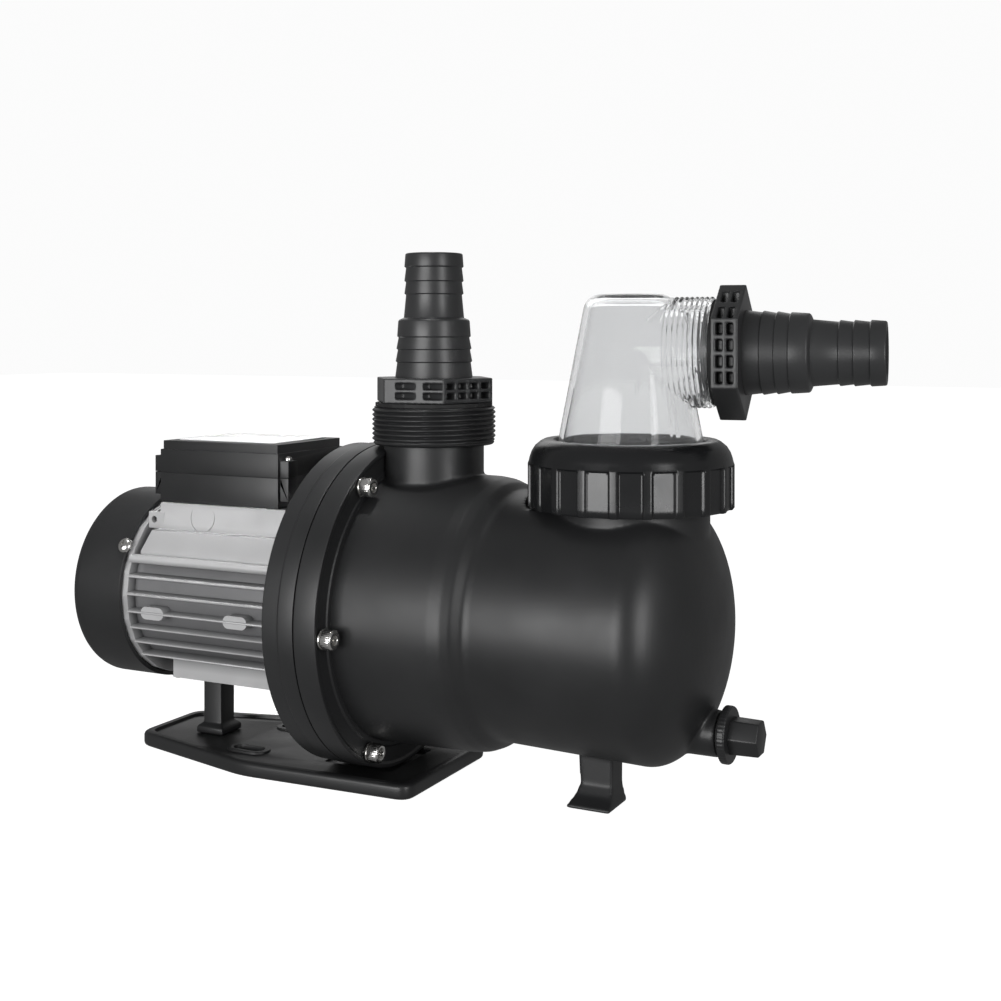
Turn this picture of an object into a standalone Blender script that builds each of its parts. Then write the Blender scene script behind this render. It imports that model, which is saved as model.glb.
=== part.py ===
"""Pool pump: plastic wet end with a strainer, clear inlet elbow, two hose adapters and a finned motor.

Frame: X runs along the pump's axis from the fan cover (-X) to the inlet hose tail (+X), Z is up, and the
origin is on the ground under the middle of the pump. Lengths in the code are millimetres; MM turns them
into Blender's metres.
"""

import math

import bmesh
import bpy
from mathutils import Matrix, Vector

MM = 0.001
GAP = 0.3

# Driving dimensions
AXIS_Z = 94.0
DISCHARGE_X = -16.0
INLET_X = 100.5
COVER_BACK_X = -229.8

FLANGE_R = 89.2
FLANGE_BACK_X = -69.5
FLANGE_SPLIT_X = -48.5
FLANGE_FRONT_X = -35.0
BOLT_CIRCLE_R = 82.6
BOLT_COUNT = 6
BOLT_PHASE = math.radians(3.0)
BOLT_HOLE_R = 3.4

CASING_R = 74.8
CREASE_X = 20.8
CREASE_R = 73.6
BARREL_R = 66.3
BARREL_FRONT_R = 68.5
BARREL_END_X = 117.0
DOME_DEPTH = 33.5
WALL = 4.2

TAIL_R = 15.9
STEP_R = 19.8
NECK_R = 27.7
THREAD_R = 34.1
THREAD_TOP_Z = AXIS_Z + 110.8
THREAD_BOTTOM_Z = AXIS_Z + 90.2
ADAPTER_BORE_R = 12.8
ADAPTER_SPIGOT_R = 23.4
ADAPTER_LENGTH = 82.0
SPIGOT_LENGTH = 7.0
SOCKET_DEPTH = 10.0
COLLAR_LIFT = 2.6
HEX_R = 34.4
HEX_HEIGHT = 13.4
POCKET_PITCH = 8.0
DISCHARGE_SPIN = math.radians(67.5)
THREAD_PITCH = 7.0

INLET_NECK_R = 40.9
INLET_BORE_R = 36.0
INLET_SEAT_Z = AXIS_Z + 84.0
BASKET_SEAT_Z = AXIS_Z + 60.0
RING_R = 53.3
RING_BOTTOM_Z = AXIS_Z + 61.4
RING_TOP_Z = AXIS_Z + 96.4
RING_GRIPS = 20
GRIP_PHASE = math.radians(3.3)
ELBOW_BASE_R = 37.9
ELBOW_TOP_Z = AXIS_Z + 171.2
BRANCH_Z = AXIS_Z + 141.4
BRANCH_R = 28.4
BRANCH_END_X = INLET_X + 43.8
ELBOW_SWING = math.radians(8.6)

DRAIN_Z = AXIS_Z - 50.0
DRAIN_SEAT_X = 149.0

COVER_R = 56.0
COVER_FRONT_X = -192.0
COVER_SCREW_X = -193.9
HOUSING_BACK_X = -188.0
HOUSING_FRONT_X = -72.5
FIN_TIP_R = 55.0
HOUSING_R = 47.0
WIRE_HOLE_X = -142.0
STATOR_R = 43.0
SHAFT_R = 6.0

BOX_X = (-181.0, -97.5)
BOX_HALF_Y = 33.0
BOX_WALL = 2.4
BOX_BASE_Z = AXIS_Z + 52.8
BOX_SEAM_Z = AXIS_Z + 70.0
BOX_TOP_Z = AXIS_Z + 88.5
GLAND_X = -160.0
GLAND_Z = (BOX_BASE_Z + BOX_SEAM_Z) / 2

BASE_RIM_Z = 8.2
BASE_TOP_Z = 6.4
TROUGH_Z = 4.2
SLOT_X = -124.0
SLOT_Y = 24.0
POST_X = -164.0


def clear_scene():
    for old in list(bpy.data.objects):
        bpy.data.objects.remove(old, do_unlink=True)


clear_scene()
pump = bpy.data.collections.new("pool_pump")
helpers = bpy.data.collections.new("cutters")
bpy.context.scene.collection.children.link(pump)
bpy.context.scene.collection.children.link(helpers)


def material(name, colour, roughness, metallic=0.0, transmission=0.0):
    made = bpy.data.materials.new(name)
    made.use_nodes = True
    shader = made.node_tree.nodes["Principled BSDF"]
    shader.inputs["Base Color"].default_value = (*colour, 1.0)
    shader.inputs["Roughness"].default_value = roughness
    shader.inputs["Metallic"].default_value = metallic
    shader.inputs["Transmission Weight"].default_value = transmission
    return made


BLACK = material("black_plastic", (0.020, 0.020, 0.021), 0.42)
BOX_BLACK = material("box_plastic", (0.014, 0.014, 0.015), 0.5)
WHITE = material("white_plastic", (0.72, 0.72, 0.70), 0.5)
CLEAR = material("clear_polycarbonate", (0.92, 0.93, 0.93), 0.05, transmission=0.9)
ALUMINIUM = material("cast_aluminium", (0.60, 0.60, 0.61), 0.38, metallic=0.9)
STAINLESS = material("stainless_steel", (0.62, 0.61, 0.59), 0.25, metallic=1.0)
STEEL = material("bearing_steel", (0.45, 0.45, 0.46), 0.3, metallic=1.0)
LAMINATION = material("lamination_steel", (0.25, 0.26, 0.28), 0.5, metallic=0.8)
COPPER = material("copper_winding", (0.62, 0.27, 0.12), 0.4, metallic=0.9)
RUBBER = material("black_rubber", (0.012, 0.012, 0.012), 0.8)
CERAMIC = material("seal_ceramic", (0.82, 0.80, 0.76), 0.3)
LABEL = material("blank_label", (0.78, 0.79, 0.80), 0.35)


def place(obj, surface, collection):
    collection.objects.link(obj)
    obj.data.materials.append(surface)
    if collection is helpers:
        obj.hide_render = True
        obj.display_type = "WIRE"
    return obj


def lay(obj, at, along, spin=0.0):
    """Puts an object made round its own Z at a point, with that axis along x, y or z."""
    turns = {"x": (0, math.radians(90), 0), "y": (math.radians(-90), 0, 0), "z": (0, 0, spin)}
    obj.location = Vector(at) * MM
    obj.rotation_euler = turns[along]


def turned(name, points, surface, at=(0, 0, 0), along="z", steps=32, collection=pump, spin=0.0):
    """A profile of (radius, height) points turned about its own Z, then laid along an axis.

    The points run down the outer side first. A profile that starts or ends off the axis is closed.
    """
    mesh = bpy.data.meshes.new(name)
    edges = [(i, i + 1) for i in range(len(points) - 1)]
    if points[0][0] > 0 or points[-1][0] > 0:
        edges.append((len(points) - 1, 0))
    mesh.from_pydata([(r * MM, 0, h * MM) for r, h in points], edges, [])
    obj = place(bpy.data.objects.new(name, mesh), surface, collection)
    screw = obj.modifiers.new("turn", "SCREW")
    screw.steps = steps
    screw.render_steps = steps
    screw.use_merge_vertices = True
    screw.merge_threshold = 0.00001
    screw.use_smooth_shade = True
    lay(obj, at, along, spin)
    return obj


def on_axis(name, points, surface, steps=48, collection=pump, z=AXIS_Z, y=0.0):
    """A piece turned about the pump's axis, from (radius, x) points that run from +X to -X outside."""
    return turned(name, points, surface, (0, y, z), "x", steps, collection)


def upright(name, points, surface, x, y=0.0, steps=32, collection=pump):
    """A piece turned about a vertical axis, from (radius, z) points that run down outside."""
    return turned(name, points, surface, (x, y, 0), "z", steps, collection)


def from_bmesh(name, form, surface, collection=pump):
    mesh = bpy.data.meshes.new(name)
    bmesh.ops.recalc_face_normals(form, faces=form.faces)
    form.to_mesh(mesh)
    form.free()
    mesh.shade_smooth()
    mesh.set_sharp_from_angle(angle=math.radians(32))
    return place(bpy.data.objects.new(name, mesh), surface, collection)


def add_box(form, low, high):
    low, high = Vector(low) * MM, Vector(high) * MM
    size = high - low
    where = Matrix.Translation((low + high) / 2) @ Matrix.Diagonal((*size, 1))
    return bmesh.ops.create_cube(form, size=1.0, matrix=where)["verts"]


def add_cylinder(form, radius, start, end, segments=20, spin=0.0):
    start, end = Vector(start) * MM, Vector(end) * MM
    span = end - start
    turn = span.to_track_quat("Z", "Y").to_matrix().to_4x4()
    where = Matrix.Translation((start + end) / 2) @ turn @ Matrix.Rotation(spin, 4, "Z")
    bmesh.ops.create_cone(
        form,
        cap_ends=True,
        segments=segments,
        radius1=radius * MM,
        radius2=radius * MM,
        depth=span.length,
        matrix=where,
    )


def boxes(name, corners, surface, collection=pump):
    form = bmesh.new()
    for low, high in corners:
        add_box(form, low, high)
    return from_bmesh(name, form, surface, collection)


def rods(name, rows, surface, collection=pump, segments=20):
    form = bmesh.new()
    for radius, start, end in rows:
        add_cylinder(form, radius, start, end, segments)
    return from_bmesh(name, form, surface, collection)


def combine(target, other, operation="DIFFERENCE"):
    change = target.modifiers.new(operation.lower(), "BOOLEAN")
    change.object = other
    change.operation = operation
    change.solver = "EXACT"


def ring_points(count, radius, phase=0.0):
    """(y, z) offsets of a ring of points round the pump's axis."""
    angles = [phase + 2 * math.pi * i / count for i in range(count)]
    return [(radius * math.cos(a), radius * math.sin(a)) for a in angles]


def arc(centre, radius, first, last, count):
    """Points of a circular arc, angles in degrees from +radius toward +height."""
    made = []
    for i in range(count + 1):
        angle = math.radians(first + (last - first) * i / count)
        made.append((centre[0] + radius * math.cos(angle), centre[1] + radius * math.sin(angle)))
    return made


def dome(radius, start, depth, count=10):
    """A half ellipse from the axis at start + depth out to the full radius at start."""
    made = []
    for i in range(count + 1):
        angle = math.pi / 2 * (1 - i / count)
        made.append((radius * math.cos(angle), start + depth * math.sin(angle)))
    made[0] = (0.0, start + depth)
    return made


def thread_profile(radius, top, bottom, pitch, depth=0.9):
    """Ridges down an outer side, as (radius, height) points."""
    count = int((top - bottom) / pitch)
    step = (top - bottom) / count
    made = []
    for i in range(count):
        made.append((radius - depth, top - step * i))
        made.append((radius, top - step * (i + 0.5)))
    made.append((radius - depth, bottom))
    return made


# Pump body: volute casing, strainer barrel, both necks, drain boss and foot in one moulding


def body_outer():
    front = FLANGE_FRONT_X
    points = dome(BARREL_FRONT_R, BARREL_END_X, DOME_DEPTH, 7)
    points += [(BARREL_R, CREASE_X + 18.0), (BARREL_R + 0.8, CREASE_X + 15.6)]
    points += [(BARREL_R + 4.4, CREASE_X + 11.2), (CREASE_R - 1.0, CREASE_X + 6.4), (CREASE_R, CREASE_X)]
    points += [(CASING_R, front + 2.0), (CASING_R + 2.0, front)]
    points += [(FLANGE_R - 1.2, front), (FLANGE_R, front - 1.2)]
    points += [(FLANGE_R, FLANGE_SPLIT_X + GAP), (0.0, FLANGE_SPLIT_X + GAP)]
    return on_axis("pump_body", points, BLACK, steps=48)


def body_cavity():
    points = dome(BARREL_FRONT_R - WALL, BARREL_END_X, DOME_DEPTH - WALL, 4)
    points += [(BARREL_R - WALL, 27.0), (17.0, 27.0), (17.0, 18.0)]
    points += [(66.0, 18.0), (66.0, FLANGE_SPLIT_X - 3.0), (0.0, FLANGE_SPLIT_X - 3.0)]
    cavity = on_axis("body_cavity", points, BLACK, 36, helpers)
    low, high = (42.0, -70.0, AXIS_Z + 56.0), (165.0, 70.0, AXIS_Z + 90.0)
    roof = boxes("cavity_roof", [(low, high)], BLACK, helpers)
    combine(cavity, roof)
    return cavity


def discharge_neck():
    base_z = AXIS_Z + 60.0
    points = [(0.0, THREAD_TOP_Z)]
    points += thread_profile(THREAD_R, THREAD_TOP_Z, THREAD_BOTTOM_Z, THREAD_PITCH)
    points += [(NECK_R, THREAD_BOTTOM_Z - 1.0), (NECK_R, AXIS_Z + 76.0), (NECK_R + 1.6, AXIS_Z + 70.0)]
    points += [(NECK_R + 1.6, base_z), (0.0, base_z)]
    return upright("discharge_neck", points, BLACK, DISCHARGE_X, steps=28, collection=helpers)


def inlet_neck():
    base_z = AXIS_Z + 38.0
    points = [(0.0, INLET_SEAT_Z)]
    points += [(46.0, INLET_SEAT_Z), (46.0, AXIS_Z + 66.0), (INLET_NECK_R, AXIS_Z + 62.0)]
    points += [(INLET_NECK_R, base_z), (0.0, base_z)]
    return upright("inlet_neck", points, BLACK, INLET_X, steps=28, collection=helpers)


def neck_bores():
    """Cutters for the discharge's bore and socket, and for the inlet with its basket ledge."""
    socket_z = THREAD_TOP_Z - SOCKET_DEPTH
    rows = [
        ("discharge_bore", 21.0, DISCHARGE_X, AXIS_Z + 40, THREAD_TOP_Z + 5),
        ("discharge_socket", ADAPTER_SPIGOT_R + 0.5, DISCHARGE_X, socket_z, THREAD_TOP_Z + 6),
        ("inlet_bore", INLET_BORE_R, INLET_X, BASKET_SEAT_Z, INLET_SEAT_Z + 5),
        ("basket_ledge_bore", INLET_BORE_R - 2.4, INLET_X, AXIS_Z + 20, BASKET_SEAT_Z + 3),
    ]
    return [rods(name, [(radius, (x, 0, low), (x, 0, high))], BLACK, helpers, 24)
            for name, radius, x, low, high in rows]


def ring_recess():
    """Clearance in the barrel's top, where the locking ring's skirt turns just below the crown."""
    low = (INLET_X, 0, RING_BOTTOM_Z - 1.0)
    return rods("ring_recess", [(RING_R + 0.9, low, (INLET_X, 0, INLET_SEAT_Z + 20))], BLACK, helpers, 28)


def foot_solid():
    """A column under the barrel whose near side flares to a wider sole, lofted through rectangles."""
    sections = [
        (AXIS_Z - 55.0, 73.0, 94.0, -8.0),
        (11.0, 75.0, 93.5, -8.0),
        (1.6, 71.5, 96.0, -18.0),
        (0.0, 71.5, 96.0, -18.0),
    ]
    form = bmesh.new()
    rings = []
    for z, x0, x1, near_y in sections:
        corners = [(x0, near_y), (x1, near_y), (x1, 8.0), (x0, 8.0)]
        rings.append([form.verts.new((x * MM, y * MM, z * MM)) for x, y in corners])
    for upper, lower in zip(rings, rings[1:]):
        for i in range(4):
            form.faces.new((upper[i], upper[i - 1], lower[i - 1], lower[i]))
    form.faces.new(rings[0])
    form.faces.new(rings[-1][::-1])
    return from_bmesh("foot", form, BLACK, helpers)


def drain_boss():
    points = [(0.0, DRAIN_SEAT_X), (11.6, DRAIN_SEAT_X), (11.6, 118.0), (0.0, 118.0)]
    return on_axis("drain_boss", points, BLACK, 20, helpers, DRAIN_Z)


def build_body():
    body = body_outer()
    combine(body, ring_recess())
    for piece in (discharge_neck(), inlet_neck(), foot_solid(), drain_boss()):
        combine(body, piece, "UNION")
    combine(body, body_cavity())
    for bore in neck_bores():
        combine(body, bore)
    drain = (7.0, (110, 0, DRAIN_Z), (DRAIN_SEAT_X + 5, 0, DRAIN_Z))
    combine(body, rods("drain_hole", [drain], BLACK, helpers, 14))
    rows = []
    for y, z in ring_points(BOLT_COUNT, BOLT_CIRCLE_R, BOLT_PHASE):
        start, end = (FLANGE_SPLIT_X - 5, y, AXIS_Z + z), (FLANGE_FRONT_X + 5, y, AXIS_Z + z)
        rows.append((BOLT_HOLE_R, start, end))
    combine(body, rods("body_bolt_holes", rows, BLACK, helpers, 8))
    return body


# Strainer, locking ring, elbow and the parts that seal them


def build_ring():
    """Locking ring: a band with a lip over the elbow's flange, and flat panels cut between its ribs."""
    lip_z = RING_TOP_Z - 4.2
    points = [(39.2, RING_TOP_Z), (45.6, RING_TOP_Z), (50.0, RING_TOP_Z - 2.2), (52.2, AXIS_Z + 86.6)]
    points += [(RING_R, AXIS_Z + 85.4), (RING_R, RING_BOTTOM_Z + 1.0), (RING_R - 1.0, RING_BOTTOM_Z)]
    points += [(46.6, RING_BOTTOM_Z), (46.6, lip_z - 1.0), (45.6, lip_z), (39.2, lip_z)]
    ring = upright("locking_ring", points, BLACK, INLET_X, steps=40)
    form = bmesh.new()
    for i in range(RING_GRIPS):
        angle = GRIP_PHASE + 2 * math.pi * i / RING_GRIPS
        turn = Matrix.Translation((INLET_X * MM, 0, 0)) @ Matrix.Rotation(angle, 4, "Z")
        verts = add_box(form, (51.3, -6.1, RING_BOTTOM_Z - 2), (58.0, 6.1, AXIS_Z + 84.4))
        bmesh.ops.transform(form, matrix=turn, verts=verts)
    combine(ring, from_bmesh("ring_grips", form, BLACK, helpers))
    return ring


def build_elbow():
    """Clear inlet elbow: a flanged cone with a threaded branch, hollow right through."""
    seat = INLET_SEAT_Z + 2.6
    shoulder = 9.0
    top_r = 24.5
    wall = 3.0
    outer = [(0.0, ELBOW_TOP_Z)]
    outer += arc((top_r - shoulder, ELBOW_TOP_Z - shoulder), shoulder, 90, 8, 3)
    outer += [(ELBOW_BASE_R, RING_TOP_Z - 3.0), (ELBOW_BASE_R, seat + 5.0), (44.6, seat + 5.0)]
    outer += [(44.6, seat), (0.0, seat)]
    elbow = upright("inlet_elbow", outer, CLEAR, INLET_X, steps=28)
    points = [(0.0, BRANCH_END_X)]
    points += thread_profile(BRANCH_R, BRANCH_END_X, INLET_X + 21.0, THREAD_PITCH, 0.9)
    points += [(BRANCH_R - 0.9, INLET_X + 8.0), (0.0, INLET_X + 8.0)]
    combine(elbow, on_axis("elbow_branch", points, CLEAR, 24, helpers, BRANCH_Z), "UNION")
    top_z = ELBOW_TOP_Z - wall
    inner = [(0.0, top_z)]
    inner += arc((top_r - shoulder, top_z - shoulder + wall), shoulder - wall, 90, 8, 2)
    inner += [(ELBOW_BASE_R - wall, RING_TOP_Z - 3.0), (ELBOW_BASE_R - wall, seat - 5.0)]
    inner.append((0.0, seat - 5.0))
    combine(elbow, upright("elbow_cavity", inner, CLEAR, INLET_X, steps=24, collection=helpers))
    bore_r = ADAPTER_SPIGOT_R + 0.5
    bore = [(0.0, BRANCH_END_X + 5.0), (bore_r, BRANCH_END_X + 5.0), (bore_r, INLET_X), (0.0, INLET_X)]
    combine(elbow, on_axis("branch_bore", bore, CLEAR, 24, helpers, BRANCH_Z))
    return elbow


def build_elbow_seal():
    z = INLET_SEAT_Z
    points = [(44.2, z + 2.3), (44.2, z + 0.3), (37.0, z + 0.3), (37.0, z + 2.3)]
    return upright("elbow_seal", points, RUBBER, INLET_X, steps=28)


def build_basket():
    """Strainer basket: a slotted tapered cup whose rim rests on the ledge in the inlet neck."""
    rim_z = BASKET_SEAT_Z + GAP
    bottom_z = AXIS_Z - 52.0
    points = [(35.2, rim_z + 2.6), (35.2, rim_z), (32.8, rim_z), (28.6, bottom_z), (0.0, bottom_z)]
    points += [(0.0, bottom_z + 2.2), (26.4, bottom_z + 2.2), (30.4, rim_z + 2.6)]
    basket = upright("strainer_basket", points, WHITE, INLET_X, steps=24)
    form = bmesh.new()
    for row in range(2):
        z0 = bottom_z + 9.0 + 50.0 * row
        for i in range(12):
            spin = Matrix.Rotation(2 * math.pi * i / 12, 4, "Z")
            turn = Matrix.Translation((INLET_X * MM, 0, 0)) @ spin
            verts = add_box(form, (22, -2.2, z0), (40, 2.2, z0 + 42.0))
            bmesh.ops.transform(form, matrix=turn, verts=verts)
    combine(basket, from_bmesh("basket_slots", form, BLACK, helpers))
    return basket


# Hose adapters: a hexagonal collar with cored pockets, a stepped barbed tail and a threaded spigot


def adapter_profile():
    """(radius, height) down the outside from the tail's end to the spigot, then up through the bore."""
    end = ADAPTER_LENGTH
    points = [(ADAPTER_BORE_R, end), (TAIL_R - 0.6, end), (TAIL_R, end - 0.8)]
    points += [(TAIL_R + 0.8, end - 35.6), (STEP_R - 0.7, end - 36.6), (STEP_R, end - 37.4)]
    points += [(STEP_R + 1.6, HEX_HEIGHT + 1.0), (STEP_R + 1.6, 4.0)]
    points += [(ADAPTER_SPIGOT_R, 4.0), (ADAPTER_SPIGOT_R, -SPIGOT_LENGTH)]
    points += [(ADAPTER_BORE_R + 4.6, -SPIGOT_LENGTH), (ADAPTER_BORE_R + 4.6, 30.0)]
    points += [(ADAPTER_BORE_R, end - 40.0)]
    return points


def collar_pockets(name):
    """Two rows of blind pockets drawn in from both sides, six a row, one end of each side plain."""
    form = bmesh.new()
    for row in range(2):
        z0 = 2.4 + 5.2 * row
        for i in range(6):
            x0 = -4.0 * POCKET_PITCH + POCKET_PITCH * i + 1.1
            x1 = x0 + POCKET_PITCH - 2.2
            near = min(abs(x0), abs(x1))
            depth = math.sqrt(max(24.6**2 - near**2, 25.0))
            add_box(form, (x0, -60, z0), (x1, -depth, z0 + 3.4))
            add_box(form, (-x1, depth, z0), (-x0, 60, z0 + 3.4))
    return from_bmesh(name + "_pockets", form, BLACK, helpers)


def build_adapter(name, seat, along, spin=0.0):
    """One adapter with the foot of its collar at the seat, pointing up or toward +X."""
    adapter = turned(name, adapter_profile(), BLACK, seat, along, 24, spin=spin)
    form = bmesh.new()
    add_cylinder(form, HEX_R, (0, 0, 0), (0, 0, HEX_HEIGHT), 6, spin=math.radians(30))
    collar = from_bmesh(name + "_collar", form, BLACK, helpers)
    core_r = STEP_R + 1.0
    core_points = [(0, 40), (core_r, 40), (core_r, -20), (0, -20)]
    core = turned(name + "_core", core_points, BLACK, steps=24, collection=helpers)
    pockets = collar_pockets(name)
    combine(collar, core)
    combine(collar, pockets)
    for helper in (collar, core, pockets):
        lay(helper, seat, along, spin)
    combine(adapter, collar, "UNION")
    return adapter


def build_gasket(name, seat, along, outer):
    """A flat ring between a neck's end and the foot of an adapter's collar."""
    inner = ADAPTER_SPIGOT_R + 0.8
    thickness = COLLAR_LIFT - 2 * GAP
    points = [(outer, thickness), (outer, 0.0), (inner, 0.0), (inner, thickness)]
    turned(name, points, RUBBER, seat, along, 24)


def build_inlet():
    """The elbow, its gasket and the inlet adapter, made toward +X and then swung round the inlet."""
    before = set(bpy.data.objects)
    build_elbow()
    build_gasket("inlet_gasket", (BRANCH_END_X + GAP, 0, BRANCH_Z), "x", 27.2)
    build_adapter("inlet_adapter", (BRANCH_END_X + COLLAR_LIFT, 0, BRANCH_Z), "x")
    bpy.context.view_layer.update()
    centre = Matrix.Translation((INLET_X * MM, 0, 0))
    turn = centre @ Matrix.Rotation(ELBOW_SWING, 4, "Z") @ centre.inverted()
    for piece in set(bpy.data.objects) - before:
        piece.matrix_world = turn @ piece.matrix_world


def build_drain_plug():
    seat = DRAIN_SEAT_X + 2.0
    points = [(0.0, seat + 4.0), (13.9, seat + 4.0), (14.5, seat + 3.2), (14.5, seat)]
    points += [(6.6, seat), (6.6, seat - 13.0), (0.0, seat - 13.0)]
    plug = on_axis("drain_plug", points, BLACK, 20, z=DRAIN_Z)
    form = bmesh.new()
    add_cylinder(form, 9.9, (seat + 2, 0, DRAIN_Z), (seat + 19.0, 0, DRAIN_Z), 6)
    combine(plug, from_bmesh("drain_head", form, BLACK, helpers), "UNION")
    ring = [(10.8, DRAIN_SEAT_X + 1.7), (10.8, DRAIN_SEAT_X + 0.3)]
    ring += [(7.2, DRAIN_SEAT_X + 0.3), (7.2, DRAIN_SEAT_X + 1.7)]
    on_axis("drain_seal", ring, RUBBER, 20, z=DRAIN_Z)


# Wet end inside: seal plate, O-ring, diffuser, impeller and shaft seal

SEAL_PLATE_FACE_X = FLANGE_SPLIT_X - GAP
ORING_R = 70.4


def build_seal_plate():
    """The rear half of the flange: a ringed disc that carries the shaft seal and bolts to the motor."""
    face = SEAL_PLATE_FACE_X
    back = FLANGE_BACK_X
    points = [(ORING_R - 2.3, face), (12.6, face), (12.6, face - 5.0), (9.0, face - 5.0), (9.0, face - 9.0)]
    points += [(54.0, face - 9.0), (60.0, face - 12.0), (60.0, back), (FLANGE_R - 2.0, back)]
    points += [(FLANGE_R, back + 2.0), (FLANGE_R, face), (ORING_R + 2.3, face)]
    points += [(ORING_R + 2.3, face - 3.6), (ORING_R - 2.3, face - 3.6)]
    plate = on_axis("seal_plate", points[::-1], BLACK, 40)
    rows = []
    for y, z in ring_points(BOLT_COUNT, BOLT_CIRCLE_R, BOLT_PHASE):
        rows.append((BOLT_HOLE_R, (face - 14.0, y, AXIS_Z + z), (face + 5, y, AXIS_Z + z)))
    combine(plate, rods("plate_bolt_holes", rows, BLACK, helpers, 8))
    return plate


def build_casing_oring():
    centre = SEAL_PLATE_FACE_X - 1.5
    section = arc((ORING_R, centre), 1.5, 0, -300, 5)
    on_axis("casing_oring", section, RUBBER, 32)


def build_diffuser():
    """A stationary shroud round the impeller whose snout leads the water in from the strainer."""
    front, back = 15.4, -40.0
    points = [(14.6, 26.0), (16.6, 26.0), (16.6, 18.0), (22.0, front - 2.0), (58.0, front - 12.0)]
    points += [(62.0, front - 18.0), (62.0, back), (59.6, back), (59.6, front - 19.0)]
    points += [(57.0, front - 14.4), (21.0, front - 4.4), (14.6, 13.0)]
    diffuser = on_axis("diffuser", points, WHITE, 24)
    rows = []
    for i in range(8):
        turn = 2 * math.pi * (i + 0.5) / 8
        radial = Vector((0, math.cos(turn), math.sin(turn)))
        across = Vector((0, -radial.z, radial.y))
        centre = Vector((back + 13.0, 0, AXIS_Z))
        start = centre + radial * 52.0 - across * 8.0
        rows.append((5.0, start, centre + radial * 70.0 + across * 8.0))
    combine(diffuser, rods("diffuser_ports", rows, BLACK, helpers, 8))
    return diffuser


def build_impeller():
    """Open impeller: a back disc with a hub and six curved vanes."""
    face = -24.0
    points = [(0.0, 4.0), (6.0, 2.0), (8.6, -8.0), (11.0, face + 2), (54.0, face), (54.0, face - 2.6)]
    points += [(11.0, face - 2.6), (SHAFT_R + 0.3, face - 2.6), (SHAFT_R + 0.3, -12.0), (0.0, -12.0)]
    impeller = on_axis("impeller", points, WHITE, 24)
    form = bmesh.new()
    for i in range(6):
        base = 2 * math.pi * i / 6
        rows = []
        for k in range(6):
            radius = 9.0 + 44.0 * k / 5
            turn = base - math.radians(80.0) * (k / 5) ** 0.8
            high = 6.0 - 16.0 * (k / 5)
            for side in (-1.1, 1.1):
                angle = turn + side / radius
                for x in (face - 1.0, high - 2.0):
                    corner = (x, radius * math.cos(angle), AXIS_Z + radius * math.sin(angle))
                    rows.append(form.verts.new(Vector(corner) * MM))
        for k in range(5):
            a, b = rows[4 * k:4 * k + 4], rows[4 * k + 4:4 * k + 8]
            for m, n in ((0, 1), (1, 3), (3, 2), (2, 0)):
                form.faces.new((a[m], a[n], b[n], b[m]))
        form.faces.new((rows[0], rows[1], rows[3], rows[2]))
        form.faces.new((rows[20], rows[22], rows[23], rows[21]))
    combine(impeller, from_bmesh("impeller_vanes", form, BLACK, helpers), "UNION")
    return impeller


def build_shaft_seal():
    face = SEAL_PLATE_FACE_X
    seat = [(12.3, face), (12.3, face - 4.7), (7.0, face - 4.7), (7.0, face)]
    on_axis("seal_seat", seat, CERAMIC, 20)
    head = [(10.8, face + 16.0), (12.0, face + 9.0), (12.0, face + 4.0), (8.6, face + 0.3)]
    head += [(SHAFT_R + 0.3, face + 0.3), (SHAFT_R + 0.3, face + 16.0)]
    on_axis("seal_head", head, STAINLESS, 20)


# Fasteners of the flange


def build_flange_bolts():
    """Socket-head screws through both flange halves, each over its own washer."""
    seat = FLANGE_FRONT_X + GAP
    for i, (y, z) in enumerate(ring_points(BOLT_COUNT, BOLT_CIRCLE_R, BOLT_PHASE), 1):
        at_z = AXIS_Z + z
        ring = [(5.4, seat + 1.2), (5.4, seat), (3.5, seat), (3.5, seat + 1.2)]
        on_axis(f"flange_washer_{i}", ring, STAINLESS, 10, z=at_z, y=y)
        under = seat + 1.2 + GAP
        points = [(2.6, under + 6.0), (4.6, under + 6.0), (5.1, under + 5.4), (5.1, under)]
        points += [(3.0, under), (3.0, FLANGE_SPLIT_X - 13.5), (0.0, FLANGE_SPLIT_X - 13.5)]
        points += [(0.0, under + 2.6), (2.6, under + 2.6)]
        on_axis(f"flange_bolt_{i}", points, STAINLESS, 10, z=at_z, y=y)


# Motor: housing, stator, rotor, shields, bearings, fan and cover


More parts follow.
